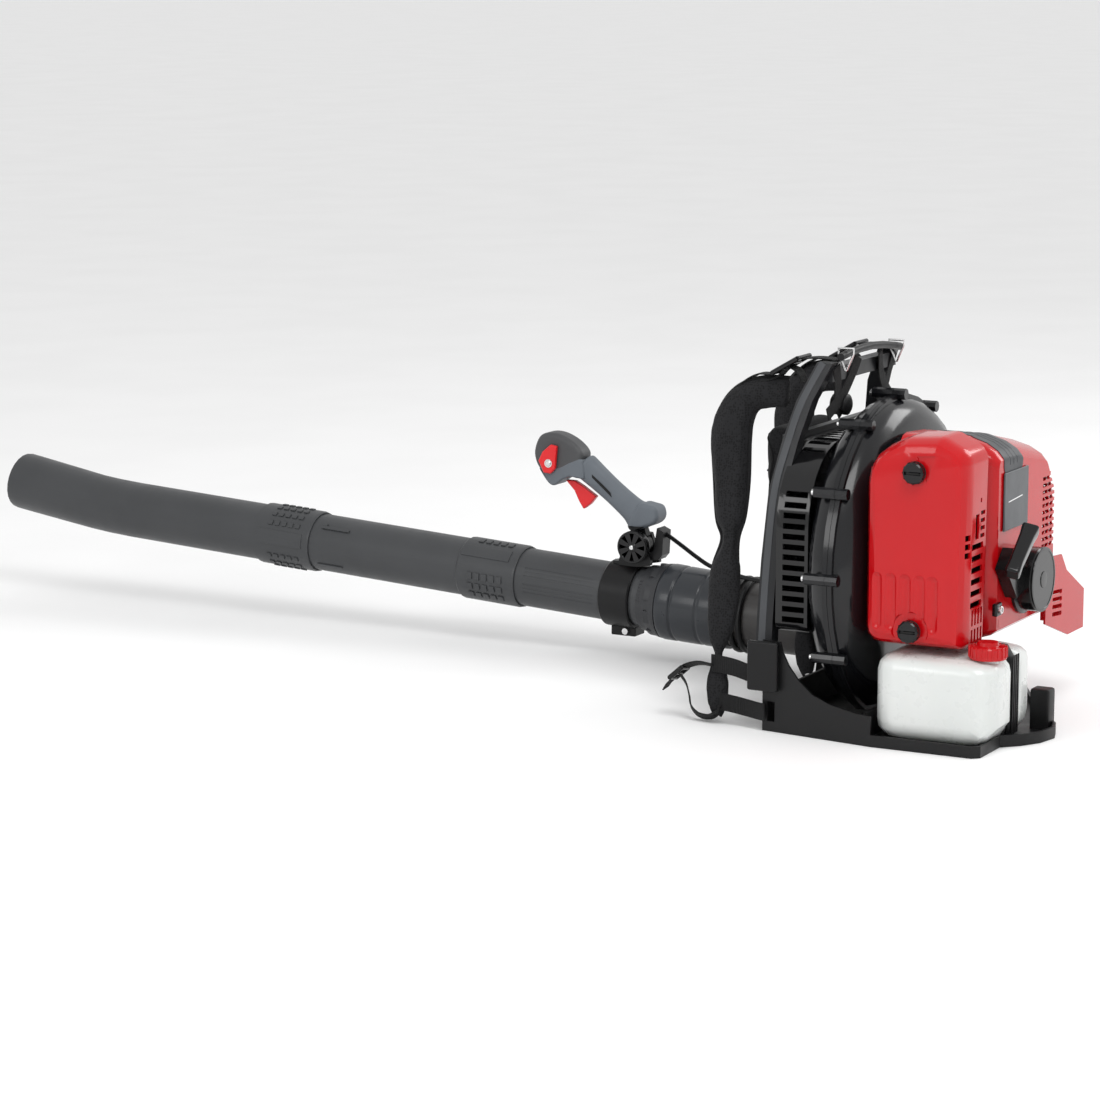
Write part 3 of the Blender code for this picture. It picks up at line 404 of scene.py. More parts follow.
def link(name, mesh):
    obj = bpy.data.objects.new(name, mesh)
    bpy.context.collection.objects.link(obj)
    return obj


def bake(obj):
    """Applies the piece's modifiers."""
    graph = bpy.context.evaluated_depsgraph_get()
    mesh = bpy.data.meshes.new_from_object(obj.evaluated_get(graph))
    obj.modifiers.clear()
    obj.data = mesh
    return obj


def shade(obj, angle):
    for face in obj.data.polygons:
        face.use_smooth = True
    obj.data.set_sharp_from_angle(angle=math.radians(angle))


def add_bevel(obj, width, segments=2, angle=38):
    made = obj.modifiers.new("edges", "BEVEL")
    made.width = width * MM
    made.segments = segments
    made.limit_method = "ANGLE"
    made.angle_limit = math.radians(angle)
    made.miter_outer = "MITER_ARC"


def to_object(name, bm, group):
    move = shift(group)
    for vert in bm.verts:
        vert.co = vert.co * MM + move
    bmesh.ops.recalc_face_normals(bm, faces=bm.faces)
    mesh = bpy.data.meshes.new(name)
    bm.to_mesh(mesh)
    bm.free()
    return link(name, mesh)


def dress(obj, mat, body, bevel=0.0, angle=35, hides=(), segments=2, ride=True):
    """Material, rounded edges, smooth shading, and the body that the piece moves with."""
    obj.data.materials.clear()
    obj.data.materials.append(MAT[mat])
    if bevel:
        add_bevel(obj, bevel, segments)
        bake(obj)
    shade(obj, angle)
    if angle < 100:
        even = obj.modifiers.new("even", "WEIGHTED_NORMAL")
        even.weight = 50
        even.keep_sharp = True
        bake(obj)
    if ride:
        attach(obj, body)
    if hides:
        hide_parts(*hides)
    return obj


def piece(name, bm, mat, body, group, bevel=0.0, angle=35, hides=(), **more):
    return dress(to_object(name, bm, group), mat, body, bevel, angle, hides, **more)


def body_of_node(node):
    bodies = frame["record"]["behaviour"]["bodies"]
    return next(name for name, nodes in bodies.items() if node in nodes)


def closer(node):
    """A copy of a CAD node with its triangles paired back into quads."""
    bm = bmesh.new()
    bm.from_mesh(frame["nodes"][node].data)
    bmesh.ops.remove_doubles(bm, verts=bm.verts, dist=2e-6)
    bmesh.ops.join_triangles(
        bm, faces=bm.faces, angle_face_threshold=math.radians(0.5), angle_shape_threshold=math.radians(60)
    )
    mesh = bpy.data.meshes.new(f"{node}_fine")
    bm.to_mesh(mesh)
    bm.free()
    if "custom_normal" in mesh.attributes:
        mesh.attributes.remove(mesh.attributes["custom_normal"])
    return link(f"{node}_fine", mesh)


def fill_flat(obj, group, corner, reach):
    """Draws the corner where the flat +X face's outline crosses itself into one point, and fills the face again."""
    corner = Vector(corner) * MM + shift(group)
    bm = bmesh.new()
    bm.from_mesh(obj.data)
    level = max(v.co.x for v in bm.verts)
    for vert in bm.verts:
        if abs(vert.co.x - level) < 1e-5 and (vert.co - corner).length < reach * MM:
            vert.co = corner
    bmesh.ops.remove_doubles(bm, verts=bm.verts, dist=2e-6)
    flat = [f for f in bm.faces if all(abs(v.co.x - level) < 1e-5 for v in f.verts)]
    bmesh.ops.delete(bm, geom=flat, context="FACES_ONLY")
    loose = [e for e in bm.edges if not e.link_faces]
    bmesh.ops.delete(bm, geom=loose, context="EDGES")
    rim = [e for e in bm.edges if len(e.link_faces) == 1]
    bmesh.ops.triangle_fill(bm, edges=rim, use_beauty=True)
    bmesh.ops.recalc_face_normals(bm, faces=bm.faces)
    bm.to_mesh(obj.data)
    bm.free()
    return obj


def carve(obj, bm, group):
    """Cuts the shape out of the piece. Both have to be closed."""
    cutter = to_object("cutter", bm, group)
    made = obj.modifiers.new("cut", "BOOLEAN")
    made.operation = "DIFFERENCE"
    made.solver = "MANIFOLD"
    made.object = cutter
    bake(obj)
    bpy.data.objects.remove(cutter)
    bm = bmesh.new()
    bm.from_mesh(obj.data)
    bmesh.ops.triangulate(bm, faces=[f for f in bm.faces if len(f.verts) > 4])
    bm.to_mesh(obj.data)
    bm.free()
    return obj


def refine(node, mat, bevel=0.6, angle=35, cuts=None, group=None, segments=2):
    obj = closer(node)
    if cuts is not None:
        carve(obj, cuts, group)
    return dress(obj, mat, body_of_node(node), bevel, angle, (node,), segments)


# ---------------------------------------------------------------- camera and light


LENS = 117.8
CAMERA_AT = Vector((4.6565, 1.8668, 1.1144))
CAMERA_TURN = math.radians(28.2)
CAMERA_DROP = math.radians(10)
FLOOR_HALF = 70


def make_camera():
    data = bpy.data.cameras.new("camera")
    data.lens = LENS
    data.sensor_width = 36
    data.clip_end = 200
    camera = bpy.data.objects.new("camera", data)
    bpy.context.collection.objects.link(camera)
    turn, drop = CAMERA_TURN, CAMERA_DROP
    way = Vector((-math.cos(turn) * math.cos(drop), -math.sin(turn) * math.cos(drop), -math.sin(drop)))
    camera.rotation_euler = way.to_track_quat("-Z", "Y").to_euler()
    camera.location = CAMERA_AT + shift("base")
    bpy.context.scene.camera = camera


def area_light(name, at, towards, size, power):
    data = bpy.data.lights.new(name, "AREA")
    data.shape = "RECTANGLE"
    data.size = size
    data.size_y = size
    data.energy = power
    lamp = bpy.data.objects.new(name, data)
    lamp.location = at
    lamp.rotation_euler = (Vector(towards) - Vector(at)).to_track_quat("-Z", "Y").to_euler()
    bpy.context.collection.objects.link(lamp)


def make_stage():
    mat, tree, shader, at = node_tree("floor_paper")
    tone = two_tone(tree, add_noise(tree, at, 3, 2), (0.93, 0.93, 0.93), (0.95, 0.95, 0.95))
    tree.links.new(tone, shader.inputs["Base Color"])
    shader.inputs["Roughness"].default_value = 0.9
    bm = bmesh.new()
    for x, y in ((-1, -1), (1, -1), (1, 1), (-1, 1)):
        bm.verts.new((x * FLOOR_HALF, y * FLOOR_HALF, -0.0005))
    bm.faces.new(list(bm.verts))
    mesh = bpy.data.meshes.new("floor")
    bm.to_mesh(mesh)
    bm.free()
    mesh.materials.append(mat)
    link("floor", mesh)
    world = bpy.data.worlds.new("studio")
    bpy.context.scene.world = world
    world.use_nodes = True
    world.node_tree.nodes["Background"].inputs["Color"].default_value = (1, 1, 1, 1)
    world.node_tree.nodes["Background"].inputs["Strength"].default_value = 0.82
    middle = (0.0, -0.4, 0.2)
    area_light("key", (1.6, 1.2, 3.0), middle, 1.6, 50)
    area_light("front", (3.4, -1.4, 1.6), middle, 1.2, 18)
    area_light("behind", (-2.6, 1.4, 2.2), middle, 1.4, 30)
    bpy.context.scene.view_settings.view_transform = "Standard"


# ---------------------------------------------------------------- machine


def bolt_head(bm, at, way, radius=4.5):
    """A cap screw head with a socket."""
    turned(bm, at, way, [(0, radius), (3.4, radius), (4, radius - 0.6), (4, radius * 0.55), (2, radius * 0.5),
                         (2, 0)], 24)  # fmt: skip
    return bm


def capsule(bm, centre, half, radius):
    """An upright rod with round ends."""
    profile = []
    for k in range(7):
        t = math.pi / 2 * k / 6
        profile.append((-half - radius * math.cos(t), radius * math.sin(t)))
    profile += [(-d, r) for d, r in profile[::-1]]
    return turned(bm, centre, (0, 0, 1), profile, 24)


def windows(bm, rows):
    """Cutters through the cover's rear face: each row is (x_lo, x_hi, z_lo, z_hi)."""
    for x_lo, x_hi, z_lo, z_hi in rows:
        block(bm, (x_lo, COVER_REAR[0], z_lo), (x_hi, COVER_REAR[1], z_hi))
    return bm


COVER_REAR = (100, 125)
COVER_FACE = 205
FLUTES = (-17, 4, 25, 46, 64.5)
FLUTE_RADIUS = 14
FLUTE_DEPTH = 3.2
COVER_KNOBS = (("cover_knob_upper", 38, 376), ("cover_knob_lower", 34, 158))


def make_cover():
    cover = fill_flat(closer("air_cleaner_cover"), "cover", (COVER_FACE, 90.3, 152), 7)
    for y in FLUTES:
        middle = (COVER_FACE + FLUTE_RADIUS - FLUTE_DEPTH, y, 196)
        carve(cover, capsule(bmesh.new(), middle, 31, FLUTE_RADIUS), "cover")
    carve(cover, slab(bmesh.new(), [(40, 398), (66, 400), (54, 364)], 0, 203.6, 210), "cover")
    bm = bmesh.new()
    turned(bm, (202.3, 33, 158), (1, 0, 0), [(0, 25), (6, 30)], 48)
    carve(cover, bm, "cover")
    rows = [(132, 147, 284 + 10.5 * k, 289.5 + 10.5 * k) for k in range(4)]
    rows += [(153, 165, 284, 318), (145, 150, 333, 339)]
    rows += [(181, 193, 261 + 12 * k, 269 + 12 * k) for k in range(3)]
    for k in range(4):
        rows += [(131 + 11 * k, 137 + 11 * k, 142, 160), (131 + 11 * k, 137 + 11 * k, 165, 187)]
    carve(cover, windows(bmesh.new(), rows), "cover")
    dress(cover, "red", "cleaner_cover", 0, 30, ("air_cleaner_cover",))
    for name, y, z in COVER_KNOBS:
        refine(name, "gloss_black", 0.5)
        body = body_of_node(name)
        bm = bmesh.new()
        turned(bm, (205.2, y, z), (1, 0, 0), [(0, 15), (0.8, 15.6), (1.6, 15)], 48)
        for k in range(12):
            t = math.tau * k / 12
            spot = Vector((208, y + 15 * math.cos(t), z + 15 * math.sin(t)))
            turned(bm, spot, (1, 0, 0), [(0, 1.2), (6, 1.2), (6.8, 0.6)], 10)
        piece(f"{name}_rim", bm, "gloss_black", body, "cover", 0, 40)
        # the knob's slot is drawn as a thin near-black sheet on its face: painted shade in place of the slot's depth
        bm = bmesh.new()
        block(bm, (216.9, y - 9, z - 1.3), (217.3, y + 9, z + 1.3))
        piece(f"{name}_slot", bm, "slot_shadow", body, "cover", 0)


DRAPE_STEPS = 48


def drape(target, group, hub, turns, sides, lift=1.0, across_steps=14):
    """A thin shell laid on the target: rays towards a line through hub along X, turning from up to the rear."""
    move = shift(group)
    rings = []
    for i in range(DRAPE_STEPS + 1):
        t = i / DRAPE_STEPS
        angle = math.radians(turns[0] + (turns[1] - turns[0]) * t)
        way = Vector((0, math.sin(angle), math.cos(angle)))
        left, right = sides(t)
        outer, inner = [], []
        for j in range(across_steps + 1):
            x = left + (right - left) * j / across_steps
            start = Vector((x, hub[0], hub[1])) * MM + move + way * 0.25
            hit, at, normal, _ = target.ray_cast(start, -way)
            if not hit:
                at, normal = start - way * 0.15, way
            at = (at - move) / MM
            outer.append(at + normal * lift)
            inner.append(at - normal * 0.8)
        rings.append(outer + inner[::-1])
    return skin(bmesh.new(), rings)


VENT_STEP = 9.6


def make_shroud():
    shroud = closer("engine_shroud")
    cuts = bmesh.new()
    for k in range(13):
        z = 372 - 18 * k
        x = 111 - 13 * k / 12
        block(cuts, (x - 8, 115.6, z - 6), (x - 6.6, 121, z + 6))
    carve(shroud, cuts, "shroud")
    dress(shroud, "red", "machine", 0, 35, ("engine_shroud",))

    def insert_sides(t):
        end = min(1.0, (1 - t) / 0.12)
        grown = min(1.0, t / 0.55)
        grown = grown * grown * (3 - 2 * grown)
        tip = math.sqrt(min(1.0, t / 0.06 + 0.05))
        half = (13 + 23 * grown) * tip * math.sqrt(max(0.04, 1 - (1 - end) ** 2))
        middle = 3 + 43 * grown
        return middle + half, middle - half

    bm = drape(shroud, "shroud", (60, 300), (-34, 47), insert_sides)
    piece("shroud_insert", bm, "insert", "machine", "shroud", 0.4)
    for k in (-1, 0, 1):
        def groove(t, k=k):
            left, right = insert_sides(t)
            middle = (left + right) / 2 + k * 13
            return middle + 1.2, middle - 1.2

        bm = drape(shroud, "shroud", (60, 300), (-26, 38), groove, 1.35, 2)
        piece(f"shroud_insert_rib_{k + 2}", bm, "insert", "machine", "shroud", 0.2)
    lattice = bmesh.new()
    for k in range(11):
        z = 233.7 + VENT_STEP * k
        face = 116.4 - 18 * max(0.0, (z + 5 - 300) / 124)
        for x in (-84, -99, -114):
            lean = 4 if k % 2 else -4
            top = z + VENT_STEP
            outline = [(x - 1.3 - lean, z), (x + 1.3 - lean, z), (x + 1.3 + lean, top), (x - 1.3 + lean, top)]
            slab(lattice, outline, 1, face - 3.4, face)
    piece("vent_lattice", lattice, "red", "machine", "shroud", 0.2)
    refine("label_plate", "label", 0.8)
    bm = bmesh.new()
    slab(bm, [(70, 322), (70, 323.4), (18, 326.4), (18, 325)], 1, 120.3, 120.9)
    piece("label_line", bm, "white", "machine", "label", 0)
    refine("muffler_guard", "red", 0.7)
    refine("muffler", "muffler", 1.5)


BOSS_RING = 230
SCROLL_HEIGHT = 222


def make_fan_housing():
    refine("scroll_front", "scroll", 0.8, 40)
    refine("scroll_rear", "scroll", 0.8, 40)
    refine("intake_cage", "cage", 1.0, 40)
    bm = bmesh.new()
    for angle in range(-30, 181, 30):
        t = math.radians(angle)
        x, z = BOSS_RING * math.cos(t), SCROLL_HEIGHT + BOSS_RING * math.sin(t)
        bolt_head(bm, (x, -112.3, z), (0, -1, 0))
    piece("scroll_bolts", bm, "steel", "machine", "scroll", 0.2)


RAIL = [(108, -135, 505), (124, -158, 453), (144, -170, 398), (159, -183, 329), (173, -187, 233), (183, -188, 149),
        (190, -188, 66)]  # fmt: skip


def make_base():
    refine("base_tray", "frame", 1.6, 40)
    refine("back_frame", "rail", 2.4, 40, segments=3)
    refine("back_panel", "frame", 1.0)
    # a lighter grey strip along the outer face of each rail: painted highlight where light falls on that face
    for side in (1, -1):
        rows = smooth_path([(side * (x + 10.6), y - 3, z) for x, y, z in RAIL], 6)
        bm = bmesh.new()
        band(bm, rows, [5.5] * len(rows), [(0, 1, 0.2)] * len(rows), [1.1] * len(rows), 12, 0.5)
        piece(f"rail_face_highlight_{'left' if side > 0 else 'right'}", bm, "insert", "machine", "frame", 0, 50)
    refine("carry_bar", "black", 0.0, 50)
    for side in ("left", "right"):
        refine(f"isolator_{side}", "black", 1.0)
        refine(f"hook_{side}", "steel", 0.0, 60)
    refine("isolator_top", "black", 0.8)


CAP_AT = (181, 138)
CAP_RADIUS = 25.4
CAP_RIBS = 20


def make_tank():
    refine("fuel_tank", "tank", 2.0, 60, segments=3)
    refine("fuel_cap", "red", 0.4, 35)
    refine("tank_band", "black", 0.5)
    bm = bmesh.new()
    for x in (107, 113.5, 120, 126.5):
        block(bm, (x, 153.8, 12), (x + 3.2, 155.4, 122))
    piece("tank_band_ribs", bm, "black", "machine", "band", 0.5)
    bm = bmesh.new()
    for k in range(CAP_RIBS):
        t = math.tau * k / CAP_RIBS
        x, y = CAP_AT[0] + CAP_RADIUS * math.cos(t), CAP_AT[1] + CAP_RADIUS * math.sin(t)
        turned(bm, (x, y, 129), (0, 0, 1), [(0, 1.5), (14, 1.5), (15, 0.8)], 10)
    piece("fuel_cap_ribs", bm, "red", "fuel_cap", "cap", 0, 40)
    for k, (low, high) in enumerate((((62, -16, 126), (88, -20, 152)), ((74, -16, 122), (104, -19, 148)))):
        bm = bmesh.new()
        middle = [(a + b) / 2 for a, b in zip(low, high)]
        tube(bm, smooth_path([low, (middle[0] - 4, middle[1] - 5, middle[2]), high], 8), 2.2, 12)
        piece(f"fuel_line_{k + 1}", bm, "bellows", "machine", "tank", 0, 50)


STARTER_FACE = (0, 147.4, 206)
PULL_AT = Vector((103, 153, 262))
PULL_LONG = Vector((-0.79, 0, 0.61)).normalized()
PULL_WAY = Vector((0.588, 0.25, 0.769)).normalized()


def make_starter():
    refine("starter_case", "gloss_black", 0.8)
    bm = bmesh.new()
    turned(bm, STARTER_FACE, (0, 1, 0), [(0, 45.5), (0.9, 45.2), (1.1, 42), (0.4, 41.2), (0.4, 0)], 72)
    turned(bm, STARTER_FACE, (0, 1, 0), [(0, 12), (1.2, 11.4), (1.4, 10), (1.4, 0)], 48)
    piece("starter_disc", bm, "gloss_black", "machine", "starter", 0, 30)
    bm = bmesh.new()
    block(bm, (104, 120, 172), (124, 128, 190))
    piece("starter_lug", bm, "gloss_black", "machine", "starter", 2)
    piece("starter_lug_screw", bolt_head(bmesh.new(), (115, 128, 181), (0, 1, 0), 5.5), "steel", "machine", "starter")
    side = PULL_LONG.cross(PULL_WAY).normalized()
    rows = [(-44.5, 6, 6), (-44, 9, 8), (-40, 10.5, 10), (-24, 9.5, 10), (0, 10, 11.4), (24, 10.5, 10.5),
            (38, 12, 11), (43, 12, 10.5), (44.5, 9, 8)]  # fmt: skip
    path = [PULL_AT + PULL_LONG * d for d, _, _ in rows]
    bm = bmesh.new()
    band(bm, path, [w for _, w, _ in rows], [tuple(side)] * len(rows), [t for _, _, t in rows], 32, 0.4)
    piece("starter_handle", bm, "gloss_black", "starter_grip", "pull", 0, 50, ("starter_grip",))
    ends = [PULL_AT - PULL_WAY * d for d in (9, 14, 20, 26)]
    bm = bmesh.new()
    tube(bm, smooth_path(ends, 10), 2.0, 12)
    rope = piece("starter_rope", bm, "rope", None, "pull", 0, 60, ride=False)
    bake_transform(rope)


def make_engine():
    for node in ("crankcase", "cylinder", "carburettor"):
        refine(node, "alloy", 0.6)


# ---------------------------------------------------------------- air tube

TUBE_X = -165
TUBE_SLOPE = 0.066
TUBE_SIDE = Vector((1, 0, 0))
TUBE_UP = Vector((0, TUBE_SLOPE, 1)).normalized()


def tube_axis(y):
    return Vector((TUBE_X, y, 90 + (-540 - y) * TUBE_SLOPE))


def on_tube(y, angle, radius):
    """The point at y along the tube, at the angle from +X towards +Z, this far from its axis."""
    t = math.radians(angle)
    return tube_axis(y) + TUBE_SIDE * (radius * math.cos(t)) + TUBE_UP * (radius * math.sin(t))


def tube_patch(bm, y_lo, y_hi, a_lo, a_hi, inner, outer, steps=5):
    """A block bent to the tube, from y_lo to y_hi and between two angles."""
    rings = []
    for y in (y_lo, y_hi):
        ring = [on_tube(y, a_lo + (a_hi - a_lo) * k / steps, outer) for k in range(steps + 1)]
        ring += [on_tube(y, a_hi + (a_lo - a_hi) * k / steps, inner) for k in range(steps + 1)]
        rings.append(ring)
    return skin(bm, rings)


def make_tube():
    refine("nozzle", "tube", 0.8, 40)
    refine("mid_pipe", "tube", 0.6, 40)
    grooves = bmesh.new()
    for middle in (22, -10):
        for step in (-8, 0, 8):
            tube_patch(grooves, -622, -742, middle + step - 1.6, middle + step + 1.6, 44.2, 46, 2)
    refine("swivel_pipe", "tube", 0.5, 40, grooves, "swivel")
    refine("elbow", "elbow", 0.0, 60)
    for name in ("elbow_clamp_front", "elbow_clamp_rear"):
        refine(name, "black", 0.5)
    # grip pads and the raised panels of the two bayonet joints
    bm = bmesh.new()
    for i in range(5):
        for angle in (34, 54, 74, 94, -32, -52, -72):
            y = -1150 - 12.5 * i
            tube_patch(bm, y, y - 8, angle - 4.6, angle + 4.6, 48, 50.2)
    tube_patch(bm, -1142, -1226, -8, 20, 48, 49.3, 8)
    piece("nozzle_grip_pad", bm, "tube", "nozzle", "nozzle", 0.7)
    bm = bmesh.new()
    for i in range(5):
        y = -778 - 13 * i
        tube_patch(bm, y, y - 8.5, 70, 84, 48, 50.2)
        for angle in (-2, -22, -42):
            tube_patch(bm, y, y - 9, angle - 6.5, angle + 6.5, 48, 50.2)
    tube_patch(bm, -772, -856, 34, 58, 48, 49.6, 8)
    piece("mid_grip_pad", bm, "tube", "mid_pipe", "mid", 0.7)
    bm = bmesh.new()
    tube_patch(bm, -1062, -1112, 40, 46, 44.5, 48)
    tube_patch(bm, -1104, -1112, 46, 52, 44.5, 48)
    tube_patch(bm, -1070, -1116, -40, -36, 44.5, 47)
    piece("mid_bayonet_ribs", bm, "tube", "mid_pipe", "mid", 0.6)
    # the collar between the handle's clamp and the bellows, with its angle marks
    rings = []
    for y, r in ((-545.5, 47), (-545.5, 50.4), (-540, 51), (-532, 51.4), (-519, 56.6), (-513, 57.4), (-512.4, 56)):
        rings.append(circle(tube_axis(y), TUBE_SIDE, TUBE_UP, r, 64))
    for y, r in ((-512.4, 55), (-530, 50.2)):
        rings.append(circle(tube_axis(y), TUBE_SIDE, TUBE_UP, r, 64))
    piece("bellows_collar", skin(bmesh.new(), rings, closed=True), "dark_tube", "pipe", "bellows", 0, 30)
    bm = bmesh.new()
    for k in range(7):
        angle = 40 - 6 * k
        tube_patch(bm, -540, -544.5 if k % 2 else -545, angle - 0.7, angle + 0.7, 50, 51.6, 1)
    for angle in (-60, -20, 20, 60, 100):
        tube_patch(bm, -519, -531, angle - 11, angle + 11, 50, 55.6, 6)
    piece("collar_marks", bm, "dark_tube", "pipe", "bellows", 0.3)


def make_bellows():
    path = [(-400, 54.5), (-402, 56), (-408, 56.6), (-438, 57), (-440.5, 56.6), (-442, 55.6), (-444, 55.6),
            (-445.5, 56.6), (-448, 57.2), (-482, 57.6), (-484.5, 57), (-485.5, 55.6), (-487.5, 55.6), (-488.5, 57.2),
            (-491, 58), (-503, 58.2), (-508, 58.2), (-511, 57.4), (-512, 56), (-526, 53), (-538, 50), (-543, 49.4)]
    outer, inner = [], []
    for y, r in path:
        outer.append(circle(tube_axis(y), TUBE_SIDE, TUBE_UP, r, 64))
        inner.append(circle(tube_axis(y), TUBE_SIDE, TUBE_UP, min(r - 3, 52.4), 64))
    bm = bmesh.new()
    skin(bm, outer + inner[::-1], closed=True)
    obj = piece("bellows_fine", bm, "bellows", None, "bellows", 0, 70, ("bellows",), ride=False)
    bend_with_pipe(obj)


def bend_with_pipe(obj):
    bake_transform(obj)


def make_cable():
    points = [(-165, -525.5, 195.3), (-165, -512, 187.2), (-163, -490, 175), (-158, -465, 162), (-151, -438, 151),
              (-143, -405, 145.5), (-131, -370, 142), (-123, -330, 140), (-119, -290, 138), (-117, -250, 137),
              (-117, -215, 136.5), (-117, -196, 136)]  # fmt: skip
    path = smooth_path(points, 26)
    radii = [3.5 if i % 2 else 2.7 for i in range(len(path))]
    bm = bmesh.new()
    tube(bm, path, radii, 14)
    obj = piece("throttle_cable_fine", bm, "black", None, "cable", 0, 60, ("throttle_cable",), ride=False)
    bend_with_pipe(obj)


# ---------------------------------------------------------------- handle


def closed_curve(points):
    """A smooth closed outline through the points."""
    count = len(points)
    made = []
    for i in range(count):
        four = [points[(i + k) % count] for k in (-1, 0, 1, 2)]
        made += [spline(four, k / 5) for k in range(5)]
    return made


def shrunk(outline, depth):
    """The outline moved inwards by depth, whichever way it runs."""
    pairs = zip(outline, outline[1:] + outline[:1])
    turn = 1 if sum(a[0] * b[1] - a[1] * b[0] for a, b in pairs) > 0 else -1
    made = []
    for i, point in enumerate(outline):
        before, after = Vector(outline[i - 1]), Vector(outline[(i + 1) % len(outline)])
        way = (after - before).normalized()
        made.append(tuple(Vector(point) + Vector((-way.y, way.x)) * depth * turn))
    return made


def pillow(bm, outline, middle, half, roll):
    """A flat form with rolled edges, in the plane across X: the edge turns in over roll mm."""
    rings = []
    steps = 6
    for sign in (-1, 1):
        for k in range(steps + 1):
            t = math.pi / 2 * (k / steps if sign > 0 else 1 - k / steps)
            x = middle + sign * (half - roll + roll * math.sin(t))
            rings.append([(x, *q) for q in shrunk(outline, roll * (1 - math.cos(t)))])
    return skin(bm, rings)


HEAD = [(-654, 304), (-668, 321), (-692, 333), (-714, 335), (-730, 327), (-738, 305), (-734, 286), (-722, 270),
        (-711, 257), (-701, 255), (-690, 263), (-676, 270), (-662, 283)]  # fmt: skip
TONGUE = [(-655, 297), (-674, 293), (-690, 285), (-706, 281), (-727, 281), (-723, 271), (-711, 256.6), (-701, 254.6),
          (-690, 262.6), (-676, 269.4), (-662, 268), (-650, 270)]  # fmt: skip
FLARE = [(-577, 200), (-568, 193), (-550, 199), (-532, 207), (-525, 218), (-529, 232), (-542, 236), (-558, 236),
         (-572, 216)]  # fmt: skip


KNOB_AT = Vector((-132.4, -560, 172))


def make_handle():
    refine("handle_clamp", "black", 0.8)
    refine("clamp_screw", "steel", 0.4)
    refine("tilt_knob", "gloss_black", 0.5)
    core = closer("grip_shell")
    carve(core, block(bmesh.new(), (-230, -800, 100), (-100, -625, 400)), "grip")
    carve(core, block(bmesh.new(), (-230, -800, 202), (-100, -500, 400)), "grip")
    dress(core, "black", "grip", 1.0, 40, ("grip_shell",))
    piece("grip_head", pillow(bmesh.new(), closed_curve(HEAD), TUBE_X, 18, 8), "shell", "grip", "grip", 0, 50)
    piece("grip_tongue", pillow(bmesh.new(), closed_curve(TONGUE), TUBE_X, 18.6, 3.5), "rubber", "grip", "grip", 0, 50)
    piece("grip_flare", pillow(bmesh.new(), closed_curve(FLARE), TUBE_X, 19, 7), "rubber", "grip", "grip", 0, 50)
    # the sleeve: distance along the handle from its base, half width in side view, half thickness
    rows = [(-12, 16, 13), (-10, 21, 17), (-4, 24, 18.4), (4, 22.5, 17.6), (14, 19.4, 16), (34, 18, 15.2),
            (60, 17.6, 15), (84, 18.4, 15.6), (104, 19.6, 16.4), (116, 19.8, 16.8), (119, 17, 14)]  # fmt: skip
    along = Vector((0, -93, 70)).normalized()
    rows = smooth_path(rows, 4)
    base = Vector((TUBE_X, -564, 216))
    bm = bmesh.new()
    band(bm, [base + along * r[0] for r in rows], [r[1] for r in rows], [(0, 0.6, 0.8)] * len(rows),
         [r[2] for r in rows], 40, 0.8)  # fmt: skip
    sleeve = to_object("grip_sleeve_fine", bm, "grip")
    bay = [(-700, 240), (-640, 206), (-618, 246), (-692, 272)]
    carve(sleeve, slab(bmesh.new(), bay, 0, TUBE_X - 6.5, TUBE_X + 6.5), "grip")
    dress(sleeve, "rubber", "grip", 0, 60, ("grip_sleeve",))
    # the long dark slot on the side of the sleeve
    bm = bmesh.new()
    for x in (TUBE_X - 15.2, TUBE_X + 15.2):
        outline = [(-664, 286), (-650, 281), (-617, 254), (-604, 243), (-606, 250), (-620, 262), (-650, 286)]
        slab(bm, outline, 0, x - 0.7, x + 0.7)
    piece("grip_slot", bm, "black", "grip", "grip", 0.2)
    refine("trigger", "red_matt", 1.6, 50, segments=3)
    refine("stop_lever", "red_matt", 1.2, 50, segments=3)
    bm = bmesh.new()
    turned(bm, (-140.2, -708, 289), (1, 0, 0), [(0, 6.4), (1.2, 6.4), (1.2, 4.6), (1.8, 4.4), (2.4, 3.6), (2.4, 0)], 32)
    piece("stop_lever_screw", bm, "steel", "stop_lever", "stop", 0.2)
    # rim, spokes and centre screw of the tilt knob
    bm = bmesh.new()
    turned(bm, KNOB_AT, (1, 0, 0), [(0, 24.6), (1.2, 24.6), (2, 24), (2, 21.6), (1.2, 21), (0, 21)], 72)
    for k in range(8):
        t = math.tau * (k + 0.5) / 8
        out, turn = Vector((0, math.cos(t), math.sin(t))), Vector((0, -math.sin(t), math.cos(t)))
        corners = [out * 6 + turn * 2.6, out * 21.5 + turn * 4.6, out * 21.5 - turn * 4.6, out * 6 - turn * 2.6]
        skin(bm, [[KNOB_AT + q for q in corners], [KNOB_AT + q + Vector((1.6, 0, 0)) for q in corners]])
    turned(bm, KNOB_AT, (1, 0, 0), [(0, 7), (1.6, 7), (2.4, 6), (2.4, 0)], 32)
    piece("tilt_knob_face", bm, "gloss_black", "tilt_knob", "knob", 0.2)
    bm = bmesh.new()
    turned(bm, (-130.2, -560, 172), (1, 0, 0), [(0, 3.6), (1.2, 3.2), (1.6, 2.2), (1.6, 0)], 24)
    piece("tilt_knob_screw", bm, "steel", "tilt_knob", "knob", 0)


# ---------------------------------------------------------------- harness

CLOTH_FRAMES = 20
PIPING_INSET = 5
PIPING_LEAST = 2.5
SWELL = 0.6
